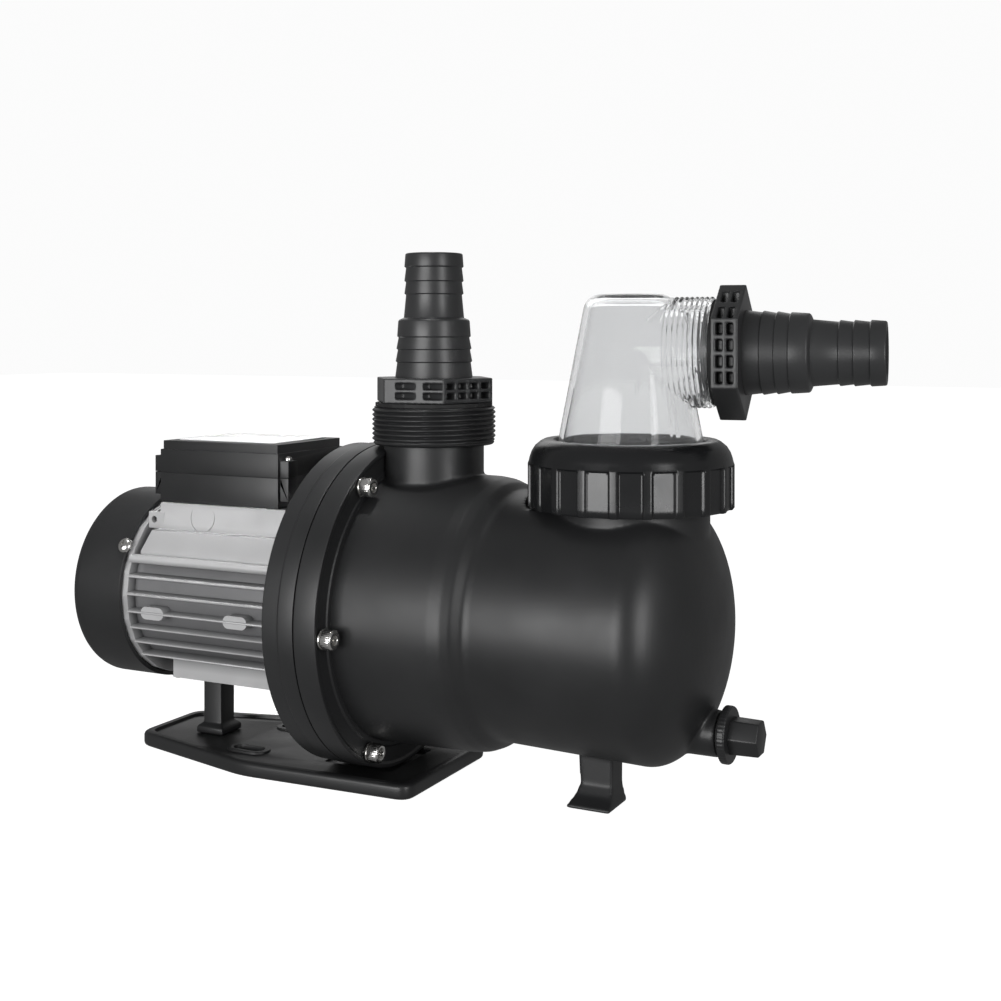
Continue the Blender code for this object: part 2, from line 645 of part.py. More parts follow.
def build_housing():
    """Finned housing: a barrel with side fins, a flat top for the terminal box and a foot pad below."""
    back, front = HOUSING_BACK_X, HOUSING_FRONT_X
    points = [(STATOR_R, front), (HOUSING_R, front), (HOUSING_R, back), (STATOR_R, back)]
    housing = on_axis("motor_housing", points[::-1], ALUMINIUM, 36)
    corners = []
    for height in (11.5, 1.5, -8.5, -18.0, -27.0, -35.5):
        tip = math.sqrt(FIN_TIP_R**2 - height**2)
        root = math.sqrt(HOUSING_R**2 - height**2) - 1.6
        for side in (-1, 1):
            y0, y1 = sorted((side * root, side * tip))
            low = (back + 0.4, y0, AXIS_Z + height - 0.9)
            corners.append((low, (front - 1.0, y1, AXIS_Z + height + 0.9)))
    combine(housing, boxes("side_fins", corners, ALUMINIUM, helpers), "UNION")
    rails = []
    for side in (-1, 1):
        y, z = side * 50.0, AXIS_Z + 21.5
        rails.append((2.6, (back + 0.4, y, z), (front - 1.0, y, z)))
    rail_bodies = rods("side_rails", rails, ALUMINIUM, helpers, 10)
    combine(housing, rail_bodies, "UNION")
    webs = []
    for side in (-1, 1):
        y0, y1 = sorted((side * 40.0, side * 50.0))
        webs.append(((back + 4.0, y0, AXIS_Z + 20.4), (front - 2.0, y1, AXIS_Z + 22.6)))
    combine(housing, boxes("rail_webs", webs, ALUMINIUM, helpers), "UNION")
    top = loft_pad()
    combine(housing, top, "UNION")
    foot = boxes("foot_pad", [((back + 14.0, -30.0, AXIS_Z - 50.0), (front - 1.5, 30.0, AXIS_Z - 34.0))],
                 ALUMINIUM, helpers)
    combine(housing, foot, "UNION")
    bore_points = [(STATOR_R, front + 5), (STATOR_R, back - 5), (0.0, back - 5)]
    bore = on_axis("housing_bore", [(0.0, front + 5)] + bore_points, ALUMINIUM, 36, helpers)
    combine(housing, bore)
    wires = (9.0, (WIRE_HOLE_X, 0, AXIS_Z + 35), (WIRE_HOLE_X, 0, AXIS_Z + 60))
    combine(housing, rods("wire_hole", [wires], ALUMINIUM, helpers))
    return housing


def loft_pad():
    """The raised bed under the terminal box, widening down onto the barrel."""
    rings = []
    form = bmesh.new()
    sections = ((30.0, 47.0, 4.0), (36.0, 37.0, 8.0), (52.5, 35.0, 9.0))
    for height, half, inset in sections:
        x0, x1, z = HOUSING_BACK_X + inset, HOUSING_FRONT_X - 2.0, AXIS_Z + height
        corners = [(x0, -half), (x1, -half), (x1, half), (x0, half)]
        rings.append([form.verts.new((x * MM, y * MM, z * MM)) for x, y in corners])
    for lower, upper in zip(rings, rings[1:]):
        for i in range(4):
            form.faces.new((lower[i - 1], lower[i], upper[i], upper[i - 1]))
    form.faces.new(rings[-1])
    form.faces.new(rings[0][::-1])
    return from_bmesh("box_bed", form, ALUMINIUM, helpers)


def build_motor_inside():
    stack = (-166.0, -104.0)
    outer, bore = STATOR_R - GAP, 27.2
    points = [(outer, stack[1]), (outer, stack[0]), (bore, stack[0]), (bore, stack[1])]
    on_axis("stator_core", points, LAMINATION, 24)
    for name, x in (("rear_winding", stack[0] - 13.4), ("front_winding", stack[1] + 0.4)):
        section = [(39.0, x + 13.0), (40.5, x + 7.0), (39.0, x)]
        section += [(29.0, x), (28.0, x + 7.0), (29.0, x + 13.0)]
        on_axis(name, section, COPPER, 24)
    rotor = [(26.6, stack[1]), (26.6, stack[0]), (8.3, stack[0]), (8.3, stack[1])]
    on_axis("rotor_core", rotor, LAMINATION, 24)
    tip, tail = -12.4, COVER_BACK_X + 8.0
    shaft = [(0.0, tip), (SHAFT_R, tip), (SHAFT_R, -68.0), (7.5, -68.6), (7.5, stack[1] + 6.0)]
    shaft += [(8.0, stack[1] + 5.4), (8.0, stack[0] - 5.0), (7.5, stack[0] - 5.6), (7.5, -196.0)]
    shaft += [(SHAFT_R, -196.6), (SHAFT_R, tail), (0.0, tail)]
    on_axis("motor_shaft", shaft, STEEL, 16)
    for name, x in (("front_bearing", -89.0), ("rear_bearing", -194.0)):
        section = [(17.5, x + 11.0), (17.5, x), (7.8, x), (7.8, x + 11.0)]
        on_axis(name, section, STEEL, 20)
    slinger = [(12.0, -64.0), (13.0, -66.0), (SHAFT_R + 0.3, -66.6), (SHAFT_R + 0.3, -62.0), (9.0, -62.0)]
    on_axis("slinger", slinger, RUBBER, 16)


def build_shields():
    """End shields that carry the bearings, the front one against the seal plate."""
    x = HOUSING_FRONT_X
    front = [(59.6, x + 11.4), (59.6, x + 2.6), (55.0, x + GAP), (STATOR_R - 0.4, x + GAP)]
    front += [(STATOR_R - 0.4, x - 5.0), (38.0, x - 5.0), (38.0, x + 3.0), (21.0, x + 3.0)]
    front += [(21.0, x - 17.0), (17.8, x - 17.0), (17.8, x - 5.2), (13.6, x - 5.2), (13.6, x + 5.0)]
    front += [(52.0, x + 5.0), (54.0, x + 11.4)]
    on_axis("front_shield", front, ALUMINIUM, 24)
    x = HOUSING_BACK_X
    rear = [(53.4, x - GAP), (53.4, x - 9.0), (13.0, x - 9.0), (13.0, x - 8.0), (17.8, x - 8.0)]
    rear += [(17.8, x + 6.0), (21.0, x + 6.0), (21.0, x - 4.0), (38.0, x - 4.0), (38.0, x + 5.0)]
    rear += [(STATOR_R - 0.4, x + 5.0), (STATOR_R - 0.4, x - GAP)]
    on_axis("rear_shield", rear, ALUMINIUM, 24)


def build_fan():
    x = -220.0
    points = [(11.0, x + 16.0), (11.0, x + 2.4), (46.0, x + 2.4), (46.0, x), (SHAFT_R + 0.3, x)]
    points += [(SHAFT_R + 0.3, x + 16.0)]
    fan = on_axis("cooling_fan", points, BOX_BLACK, 24)
    form = bmesh.new()
    for i in range(8):
        turn = Matrix.Translation((0, 0, AXIS_Z * MM)) @ Matrix.Rotation(2 * math.pi * i / 8, 4, "X")
        verts = add_box(form, (x + 1.0, 9.6, -1.0), (x + 18.0, 48.0, 1.0))
        bmesh.ops.transform(form, matrix=turn, verts=verts)
    combine(fan, from_bmesh("fan_blades", form, BOX_BLACK, helpers), "UNION")
    return fan


def build_fan_cover():
    """Fan cover: a cup over the rear shield, with rings of vent slots in its back."""
    back, front, wall = COVER_BACK_X, COVER_FRONT_X, 2.2
    points = [(COVER_R, front)] + arc((COVER_R - 7.0, back + 7.0), 7.0, 0, -90, 3)
    points += [(0.0, back), (0.0, back + wall)]
    points += arc((COVER_R - 7.0, back + 7.0), 7.0 - wall, -90, 0, 2) + [(COVER_R - wall, front)]
    cover = on_axis("fan_cover", points, BLACK, 36)
    form = bmesh.new()
    for i in range(12):
        turn = Matrix.Translation((0, 0, AXIS_Z * MM)) @ Matrix.Rotation(2 * math.pi * i / 12, 4, "X")
        for y0, y1 in ((13.0, 27.0), (31.0, 45.0)):
            verts = add_box(form, (back - 5, y0, -2.2), (back + 5, y1, 2.2))
            bmesh.ops.transform(form, matrix=turn, verts=verts)
    combine(cover, from_bmesh("cover_vents", form, BLACK, helpers))
    combine(cover, rods("cover_screw_holes", cover_screw_bores(48.0), BLACK, helpers, 8))
    shield = pump.objects["rear_shield"]
    combine(shield, rods("shield_screw_holes", cover_screw_bores(42.0), ALUMINIUM, helpers, 8))
    return cover


COVER_SCREW_WAYS = ring_points(3, 1.0, math.radians(-90.0))


def cover_screw_bores(inner):
    """Cutters for the cover screws' holes, from a distance off the axis outward."""
    made = []
    for y, z in COVER_SCREW_WAYS:
        start = (COVER_SCREW_X, inner * y, AXIS_Z + inner * z)
        made.append((2.3, start, (COVER_SCREW_X, 62 * y, AXIS_Z + 62 * z)))
    return made


def build_cover_screws():
    for i, (y, z) in enumerate(COVER_SCREW_WAYS, 1):
        out = Vector((0, y, z))
        points = [(0.0, 3.0), (2.6, 2.8), (4.4, 1.6), (4.6, GAP), (2.0, GAP), (2.0, -10.0), (0.0, -10.0)]
        screw = turned(f"cover_screw_{i}", points, STAINLESS, steps=10)
        screw.location = Vector((COVER_SCREW_X, COVER_R * y, AXIS_Z + COVER_R * z)) * MM
        screw.rotation_euler = out.to_track_quat("Z", "X").to_euler()


# Terminal box


def box_ears(name, low_z, high_z):
    """Four ears at the ends of the terminal box, between two heights."""
    x0, x1 = BOX_X
    made = []
    for start, end in ((x0 - 5.6, x0 + 2), (x1 - 2, x1 + 5.6)):
        for side in (-1, 1):
            y0, y1 = sorted((side * (BOX_HALF_Y - 11.0), side * (BOX_HALF_Y - 2.0)))
            made.append(((start, y0, low_z), (end, y1, high_z)))
    return boxes(name, made, BOX_BLACK, helpers)


def box_inside(name, low_z, high_z):
    """The space within the terminal box's walls, between two heights."""
    x0, x1 = BOX_X
    y = BOX_HALF_Y - BOX_WALL
    corners = ((x0 + BOX_WALL, -y, low_z), (x1 - BOX_WALL, y, high_z))
    return boxes(name, [corners], BOX_BLACK, helpers)


def build_terminal_box():
    x0, x1 = BOX_X
    half, wall = BOX_HALF_Y, BOX_WALL
    low, high = (x0, -half, BOX_BASE_Z), (x1, half, BOX_SEAM_Z - 0.5)
    base = boxes("terminal_box_base", [(low, high)], BOX_BLACK)
    combine(base, box_ears("base_ears", BOX_BASE_Z + 4.0, BOX_SEAM_Z - 0.5), "UNION")
    combine(base, box_inside("base_hollow", BOX_BASE_Z + wall, BOX_SEAM_Z + 5))
    holes = [(8.0, (WIRE_HOLE_X, 0, BOX_BASE_Z - 5), (WIRE_HOLE_X, 0, BOX_BASE_Z + 5))]
    holes.append((6.4, (GLAND_X, half - 8, GLAND_Z), (GLAND_X, half + 5, GLAND_Z)))
    for x, y in ear_places():
        holes.append((1.7, (x, y, BOX_BASE_Z + 7), (x, y, BOX_SEAM_Z + 5)))
    combine(base, rods("base_holes", holes, BOX_BLACK, helpers, 12))
    bottom = BOX_SEAM_Z + 0.5
    lid = boxes("terminal_box_lid", [((x0, -half, bottom), (x1, half, BOX_TOP_Z))], BOX_BLACK)
    combine(lid, box_ears("lid_ears", bottom, bottom + 9.0), "UNION")
    combine(lid, box_inside("lid_hollow", bottom - 5, BOX_TOP_Z - wall))
    holes = [(1.8, (x, y, bottom - 5), (x, y, bottom + 20)) for x, y in ear_places()]
    combine(lid, rods("lid_holes", holes, BOX_BLACK, helpers, 10))
    gasket = boxes("terminal_box_gasket", [((x0 + 0.4, -half + 0.4, BOX_SEAM_Z - 0.2),
                                            (x1 - 0.4, half - 0.4, BOX_SEAM_Z + 0.2))], RUBBER)
    combine(gasket, box_inside("gasket_window", BOX_SEAM_Z - 3, BOX_SEAM_Z + 3))
    for i, (x, y) in enumerate(ear_places(), 1):
        top = bottom + 9.0 + GAP
        points = [(0.0, top + 2.0), (1.9, top + 1.4), (2.1, top), (1.4, top)]
        points += [(1.4, BOX_BASE_Z + 8), (0.0, BOX_BASE_Z + 8)]
        upright(f"lid_screw_{i}", points, STAINLESS, x, y, 10)
    low, high = (x0 + 7, -half + 7, BOX_TOP_Z + 0.3), (x1 - 7, half - 7, BOX_TOP_Z + 0.9)
    boxes("label_plate", [(low, high)], LABEL)
    block_z = BOX_BASE_Z + 2.4 + GAP
    boxes("terminal_block", [((-126.0, -12.0, block_z), (-110.0, 12.0, block_z + 9.0))], WHITE)
    start, end = (-176.0, -16.0, block_z + 10.0), (-136.0, -16.0, block_z + 10.0)
    rods("capacitor", [(9.5, start, end)], BOX_BLACK)


def ear_places():
    x0, x1 = BOX_X
    y = BOX_HALF_Y - 6.5
    return [(x0 - 2.4, -y), (x1 + 2.4, -y), (x1 + 2.4, y), (x0 - 2.4, y)]


def build_gland():
    y = BOX_HALF_Y
    points = [(3.6, 16.0), (6.2, 16.0), (7.8, 13.5), (7.8, 7.5), (8.4, 7.0), (8.4, GAP)]
    points += [(6.1, GAP), (6.1, -5.0), (3.6, -5.0)]
    turned("cable_gland", points, BOX_BLACK, (GLAND_X, y, GLAND_Z), "y", 14)


# Base plate and the post under the motor


def build_base():
    """A six-sided plate with a low rim, two slotted mounting holes and a trough under the flange."""
    outline = [(-202.0, 27.0), (-112.0, 50.0), (-6.0, 46.0)]
    base = tray("base_plate", outline, 0.0, BASE_RIM_Z, BLACK)
    well = [(-197.0, 22.5), (-112.0, 45.0), (-11.0, 41.0)]
    combine(base, tray("base_well", well, BASE_TOP_Z, BASE_RIM_Z + 10, BLACK, helpers))
    low, high = (FLANGE_BACK_X - 4.0, -23.0, TROUGH_Z), (FLANGE_FRONT_X + 5.0, 23.0, 20.0)
    combine(base, boxes("flange_trough", [(low, high)], BLACK, helpers))
    bosses = []
    for side in (-1, 1):
        y = side * SLOT_Y
        bosses.append(((SLOT_X - 15.0, y - 8.0, 1.0), (SLOT_X + 15.0, y + 8.0, BASE_TOP_Z + 1.2)))
    combine(base, boxes("slot_bosses", bosses, BLACK, helpers), "UNION")
    form = bmesh.new()
    for side in (-1, 1):
        y = side * SLOT_Y
        add_box(form, (SLOT_X - 6.0, y - 4.2, -5), (SLOT_X + 6.0, y + 4.2, 20))
    combine(base, from_bmesh("slot_middles", form, BLACK, helpers))
    ends = []
    for side in (-1, 1):
        for step in (-6.0, 6.0):
            ends.append((4.2, (SLOT_X + step, side * SLOT_Y, -5), (SLOT_X + step, side * SLOT_Y, 20)))
    combine(base, rods("slot_ends", ends, BLACK, helpers, 12))
    holes = []
    for x, y in base_screw_places():
        holes.append((2.4, (x, y, -5), (x, y, 20)))
        holes.append((4.6, (x, y, -5), (x, y, 2.2)))
    for row in range(2):
        combine(base, rods(f"base_screw_holes_{row}", holes[row::2], BLACK, helpers, 10))
    return base


def tray(name, outline, bottom, top, surface, collection=pump):
    """A prism over an outline given for one side of the pump, from one end to the other, and mirrored."""
    around = [(x, -y) for x, y in outline] + [(x, y) for x, y in reversed(outline)]
    form = bmesh.new()
    lower = [form.verts.new((x * MM, y * MM, bottom * MM)) for x, y in around]
    upper = [form.verts.new((x * MM, y * MM, top * MM)) for x, y in around]
    count = len(around)
    for i in range(count):
        form.faces.new((lower[i], lower[(i + 1) % count], upper[(i + 1) % count], upper[i]))
    form.faces.new(upper)
    form.faces.new(lower[::-1])
    return from_bmesh(name, form, surface, collection)


def base_screw_places():
    return [(POST_X, 0.0), (FLANGE_SPLIT_X - 12.0, 0.0)]


def build_post():
    """A post from the base up to the motor's foot pad."""
    top_z = AXIS_Z - 50.0 - GAP
    low = BASE_TOP_Z + GAP
    post = boxes("motor_post", [((POST_X - 6.5, -6.5, low), (POST_X + 6.5, 6.5, top_z))], BLACK)
    foot = boxes("post_foot", [((POST_X - 9.5, -9.5, low), (POST_X + 9.5, 9.5, low + 3.7))], BLACK, helpers)
    combine(post, foot, "UNION")
    hole = rods("post_hole", [(1.6, (POST_X, 0, -5), (POST_X, 0, 22))], BLACK, helpers, 12)
    combine(post, hole)
    return post


def build_base_screws():
    for i, (x, y) in enumerate(base_screw_places(), 1):
        top = 16.0 if i == 1 else 11.5
        points = [(0.0, top), (1.3, top), (1.3, 1.9), (4.2, 1.9), (4.2, 0.5), (0.0, 0.5)]
        upright(f"base_screw_{i}", points, STAINLESS, x, y, 12)
    plate = pump.objects["seal_plate"]
    rows = [(1.6, (x, y, 0), (x, y, 15)) for x, y in base_screw_places()[1:]]
    combine(plate, rods("plate_screw_holes", rows, BLACK, helpers, 12))


build_body()
build_ring()
build_elbow_seal()
build_basket()
build_adapter("discharge_adapter", (DISCHARGE_X, 0, THREAD_TOP_Z + COLLAR_LIFT), "z", DISCHARGE_SPIN)
build_gasket("discharge_gasket", (DISCHARGE_X, 0, THREAD_TOP_Z + GAP), "z", 32.4)
build_inlet()
build_drain_plug()
build_seal_plate()
build_casing_oring()
build_diffuser()
build_impeller()
build_shaft_seal()
build_flange_bolts()
build_housing()
build_motor_inside()
build_shields()
build_fan()
build_fan_cover()
build_cover_screws()
build_terminal_box()
build_gland()
build_base()
build_post()
build_base_screws()
bpy.context.view_layer.update()
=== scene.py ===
"""Studio scene of the pool pump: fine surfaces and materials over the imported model.

Lengths are millimetres in the object's own frame and MM turns them into metres. X runs along the pump's
axis from the fan cover to the inlet hose tail, Z is up, and the ground is at z = 0.
"""

import math

import bmesh
import bpy
from mathutils import Matrix, Vector


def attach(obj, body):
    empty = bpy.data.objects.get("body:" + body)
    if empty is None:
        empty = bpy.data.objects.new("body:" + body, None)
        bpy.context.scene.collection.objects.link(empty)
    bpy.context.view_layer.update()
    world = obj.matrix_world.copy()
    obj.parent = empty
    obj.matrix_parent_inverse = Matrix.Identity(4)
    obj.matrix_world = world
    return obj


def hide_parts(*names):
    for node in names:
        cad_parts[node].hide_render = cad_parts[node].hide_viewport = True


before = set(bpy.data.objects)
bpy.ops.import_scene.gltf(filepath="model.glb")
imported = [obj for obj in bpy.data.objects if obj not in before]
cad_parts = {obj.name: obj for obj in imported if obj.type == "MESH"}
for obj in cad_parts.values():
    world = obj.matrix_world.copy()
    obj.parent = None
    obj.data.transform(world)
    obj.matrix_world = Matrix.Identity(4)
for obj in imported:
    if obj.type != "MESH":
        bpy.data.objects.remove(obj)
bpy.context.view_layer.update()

MM = 0.001
TAU = 2 * math.pi

# Sizes in millimetres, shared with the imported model. GAP is the clearance between faces that touch.
GAP = 0.3
AXIS_Z = 94.0
DISCHARGE_X = -16.0
INLET_X = 100.5
FLANGE_R = 89.2
FLANGE_BACK_X = -69.5
FLANGE_SPLIT_X = -48.5
FLANGE_FRONT_X = -35.0
BOLT_CIRCLE_R = 82.6
BOLT_PHASE = math.radians(3.0)
CASING_R = 74.8
CREASE_X = 20.8
CREASE_R = 73.6
BARREL_R = 66.3
BARREL_FRONT_R = 68.5
BARREL_END_X = 117.0
DOME_DEPTH = 33.5
NECK_R = 27.7
THREAD_R = 34.1
THREAD_TOP_Z = AXIS_Z + 110.8
THREAD_BOTTOM_Z = AXIS_Z + 90.2
ADAPTER_BORE_R = 12.8
ADAPTER_SPIGOT_R = 23.4
THREAD_BORE_R = ADAPTER_SPIGOT_R + 0.5
THREAD_PITCH = 2.6
THREAD_ROW = 0.26
TAIL_TIP_R = 15.9
STEP_TOP_R = 19.8
ADAPTER_LENGTH = 82.0
SPIGOT_LENGTH = 7.0
COLLAR_LIFT = 2.6
HEX_R = 34.4
HEX_HEIGHT = 13.4
POCKET_PITCH = 8.0
DISCHARGE_SPIN = math.radians(67.5)
INLET_NECK_R = 40.9
INLET_BORE_R = 36.0
INLET_SEAT_Z = AXIS_Z + 84.0
RING_R = 53.3
RING_BOTTOM_Z = AXIS_Z + 61.4
RING_TOP_Z = AXIS_Z + 96.4
RING_GRIPS = 20
GRIP_PHASE = math.radians(3.3)
PANEL_DEPTH_R = 51.5
PANEL_HALF_WIDTH = 6.4
ELBOW_BASE_R = 37.9
ELBOW_TOP_Z = AXIS_Z + 171.2
BRANCH_Z = AXIS_Z + 141.4
BRANCH_R = 28.4
BRANCH_END_X = INLET_X + 43.8
ELBOW_SWING = math.radians(8.6)
DRAIN_Z = AXIS_Z - 50.0
DRAIN_SEAT_X = 149.0
COVER_R = 56.0
COVER_BACK_X = -229.8
COVER_FRONT_X = -192.0
COVER_SCREW_X = -193.9
HOUSING_BACK_X = -188.0
HOUSING_FRONT_X = -72.5
HOUSING_R = 47.0
STATOR_R = 43.0
FIN_TIP_R = 55.0
BOX_X = (-181.0, -97.5)
BOX_HALF_Y = 33.0
BOX_BASE_Z = AXIS_Z + 52.8
BOX_SEAM_Z = AXIS_Z + 70.0
BOX_TOP_Z = AXIS_Z + 88.5
BASE_RIM_Z = 8.2
BASE_TOP_Z = 6.4
TROUGH_Z = 4.2
SLOT_X = -124.0
SLOT_Y = 24.0
POST_X = -164.0


# Materials


class Look:
    """A Principled material with procedural colour, roughness and fine bump, in object coordinates."""

    def __init__(self, name, colour, roughness, metallic=0.0):
        self.material = bpy.data.materials.new(name)
        self.material.use_nodes = True
        self.nodes = self.material.node_tree.nodes
        self.links = self.material.node_tree.links
        self.shader = self.nodes["Principled BSDF"]
        self.set(Roughness=roughness, Metallic=metallic)
        self.shader.inputs["Base Color"].default_value = (*colour, 1.0)
        self.colour = colour
        self.roughness = roughness
        self.where = self.nodes.new("ShaderNodeTexCoord").outputs["Object"]

    def set(self, **values):
        for name, value in values.items():
            self.shader.inputs[name.replace("_", " ")].default_value = value

    def noise(self, scale, detail=3.0, stretch=None):
        where = self.where
        if stretch:
            mapping = self.nodes.new("ShaderNodeMapping")
            mapping.inputs["Scale"].default_value = stretch
            self.links.new(where, mapping.inputs["Vector"])
            where = mapping.outputs["Vector"]
        made = self.nodes.new("ShaderNodeTexNoise")
        made.inputs["Scale"].default_value = scale
        made.inputs["Detail"].default_value = detail
        self.links.new(where, made.inputs["Vector"])
        return made.outputs["Fac"]

    def spread(self, value, low, high, start=0.3, end=0.7):
        made = self.nodes.new("ShaderNodeMapRange")
        made.inputs["From Min"].default_value = start
        made.inputs["From Max"].default_value = end
        made.inputs["To Min"].default_value = low
        made.inputs["To Max"].default_value = high
        self.links.new(value, made.inputs["Value"])
        return made.outputs["Result"]

    def vary_roughness(self, scale, amount, stretch=None):
        value = self.noise(scale, 4.0, stretch)
        low, high = self.roughness - amount, self.roughness + amount
        self.links.new(self.spread(value, low, high), self.shader.inputs["Roughness"])
        return self

    def vary_colour(self, scale, other, stretch=None):
        mix = self.nodes.new("ShaderNodeMix")
        mix.data_type = "RGBA"
        mix.inputs["A"].default_value = (*self.colour, 1.0)
        mix.inputs["B"].default_value = (*other, 1.0)
        self.links.new(self.spread(self.noise(scale, 5.0, stretch), 0.0, 1.0), mix.inputs["Factor"])
        self.links.new(mix.outputs["Result"], self.shader.inputs["Base Color"])
        return self

    def grain(self, scale, strength, distance=0.00005, stretch=None):
        bump = self.nodes.new("ShaderNodeBump")
        bump.inputs["Strength"].default_value = strength
        bump.inputs["Distance"].default_value = distance
        self.links.new(self.noise(scale, 2.0, stretch), bump.inputs["Height"])
        self.links.new(bump.outputs["Normal"], self.shader.inputs["Normal"])
        return self


def moulded(name, colour, roughness, grain=0.25):
    """Moulded plastic or ceramic with faint mottling and grain."""
    lighter = tuple(c * 1.25 + 0.002 for c in colour)
    look = Look(name, colour, roughness)
    return look.vary_colour(22, lighter).vary_roughness(35, 0.05).grain(1500, grain).material


def cast_look():
    """Cast aluminium with painted shade: bright on the fins' tips and painted darker down in the valleys
    between them, where shade falls.
    """
    look = Look("cast_aluminium", (0.46, 0.46, 0.465), 0.40, 0.35)
    across = look.nodes.new("ShaderNodeVectorMath")
    across.operation = "MULTIPLY_ADD"
    across.inputs[1].default_value = (0.0, 1.0, 1.0)
    across.inputs[2].default_value = (0.0, 0.0, -AXIS_Z * MM)
    look.links.new(look.where, across.inputs[0])
    reach = look.nodes.new("ShaderNodeVectorMath")
    reach.operation = "LENGTH"
    look.links.new(across.outputs["Vector"], reach.inputs[0])
    # Painted shade: a dark colour in the valleys between the fins, where shade falls, fading to a bright one
    # on their tips.
    painted_valley_shade = look.spread(reach.outputs["Value"], 0.0, 1.0, (HOUSING_R + 0.4) * MM, (FIN_TIP_R - 0.8) * MM)
    mix = look.nodes.new("ShaderNodeMix")
    mix.data_type = "RGBA"
    mix.inputs["A"].default_value = (0.20, 0.20, 0.205, 1.0)
    mix.inputs["B"].default_value = (0.58, 0.58, 0.585, 1.0)
    look.links.new(painted_valley_shade, mix.inputs["Factor"])
    look.links.new(mix.outputs["Result"], look.shader.inputs["Base Color"])
    return look.vary_roughness(90, 0.07).grain(1100, 0.5).material


def make_materials():
    made = {}
    made["black"] = moulded("black_plastic", (0.014, 0.0143, 0.015), 0.42)
    made["hose_black"] = moulded("adapter_plastic", (0.026, 0.0265, 0.0275), 0.38)
    made["gloss_black"] = moulded("ring_plastic", (0.008, 0.0083, 0.009), 0.27, 0.1)
    made["box"] = moulded("box_plastic", (0.011, 0.0113, 0.012), 0.42, 0.5)
    made["white"] = moulded("white_plastic", (0.74, 0.74, 0.71), 0.45)
    clear = Look("clear_polycarbonate", (0.80, 0.805, 0.81), 0.06)
    clear.set(Transmission_Weight=0.95, IOR=1.24)
    made["clear"] = clear.vary_roughness(30, 0.03).grain(160, 0.10, 0.0001).material
    made["aluminium"] = cast_look()
    steel = Look("stainless_steel", (0.68, 0.67, 0.65), 0.22, 1.0)
    steel.vary_colour(200, (0.78, 0.77, 0.75)).vary_roughness(350, 0.06)
    made["stainless"] = steel.grain(1800, 0.2).material
    ground = Look("ground_steel", (0.50, 0.50, 0.51), 0.28, 1.0)
    turned = (40.0, 1.0, 1.0)
    made["steel"] = ground.vary_roughness(60, 0.08, turned).grain(120, 0.25, stretch=turned).material
    core = Look("lamination_steel", (0.24, 0.25, 0.27), 0.5, 0.85)
    core.vary_colour(30, (0.33, 0.34, 0.36), turned)
    made["lamination"] = core.grain(60, 0.6, stretch=turned).material
    copper = Look("copper_winding", (0.60, 0.25, 0.11), 0.35, 0.9)
    wires = (1.0, 6.0, 6.0)
    copper.vary_colour(260, (0.44, 0.16, 0.07), wires)
    made["copper"] = copper.grain(420, 0.8, stretch=wires).material
    rubber = Look("black_rubber", (0.012, 0.012, 0.0125), 0.75)
    made["rubber"] = rubber.vary_roughness(60, 0.08).grain(900, 0.5).material
    made["ceramic"] = moulded("seal_ceramic", (0.80, 0.78, 0.73), 0.25, 0.05)
    label = Look("blank_label", (0.93, 0.935, 0.94), 0.34)
    brushed = (1.0, 20.0, 1.0)
    made["label"] = label.vary_roughness(140, 0.05, brushed).grain(300, 0.1, stretch=brushed).material
    return made


MATERIALS = make_materials()

CAD_LOOKS = {
    "white": ("strainer_basket", "diffuser", "impeller", "terminal_block"),
    "aluminium": ("front_shield", "rear_shield"),
    "steel": ("motor_shaft", "front_bearing", "rear_bearing"),
    "lamination": ("stator_core", "rotor_core"),
    "copper": ("front_winding", "rear_winding"),
    "rubber": ("elbow_seal", "discharge_gasket", "inlet_gasket", "drain_seal", "casing_oring", "slinger",
               "terminal_box_gasket"),
    "ceramic": ("seal_seat",),
    "stainless": ("seal_head", "base_screw_1", "base_screw_2"),
    "box": ("cooling_fan", "capacitor", "cable_gland"),
}


def dress_cad_nodes():
    """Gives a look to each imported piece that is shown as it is."""
    for look, names in CAD_LOOKS.items():
        for name in names:
            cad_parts[name].data.materials.clear()
            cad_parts[name].data.materials.append(MATERIALS[look])


# Mesh tools


def new_piece(name, form, look=None):
    """An object from a bmesh, with outward normals."""
    bmesh.ops.recalc_face_normals(form, faces=form.faces)
    mesh = bpy.data.meshes.new(name)
    form.to_mesh(mesh)
    form.free()
    obj = bpy.data.objects.new(name, mesh)
    bpy.context.scene.collection.objects.link(obj)
    if look:
        mesh.materials.append(MATERIALS[look])
    return obj


def frame_of(at, along, spin=0.0):
    """The place of something made round its own Z, laid along x, y or z."""
    turns = {
        "x": Matrix.Rotation(math.radians(90), 4, "Y"),
        "y": Matrix.Rotation(math.radians(-90), 4, "X"),
        "z": Matrix.Rotation(spin, 4, "Z"),
    }
    return Matrix.Translation(Vector(at) * MM) @ turns[along]


def rounded(points, radius, steps=3):
    """The same profile with each corner turned into a small arc."""
    made = [points[0]]
    for before, corner, after in zip(points, points[1:], points[2:]):
        here = Vector(corner)
        back, on = Vector(before) - here, Vector(after) - here
        reach = min(radius, back.length * 0.45, on.length * 0.45)
        if reach < 0.02 or abs(back.normalized().cross(on.normalized())) < 0.12:
            made.append(corner)
            continue
        start, end = here + back.normalized() * reach, here + on.normalized() * reach
        for i in range(steps + 1):
            t = i / steps
            made.append(tuple(start * (1 - t) ** 2 + here * 2 * t * (1 - t) + end * t * t))
    made.append(points[-1])
    return made


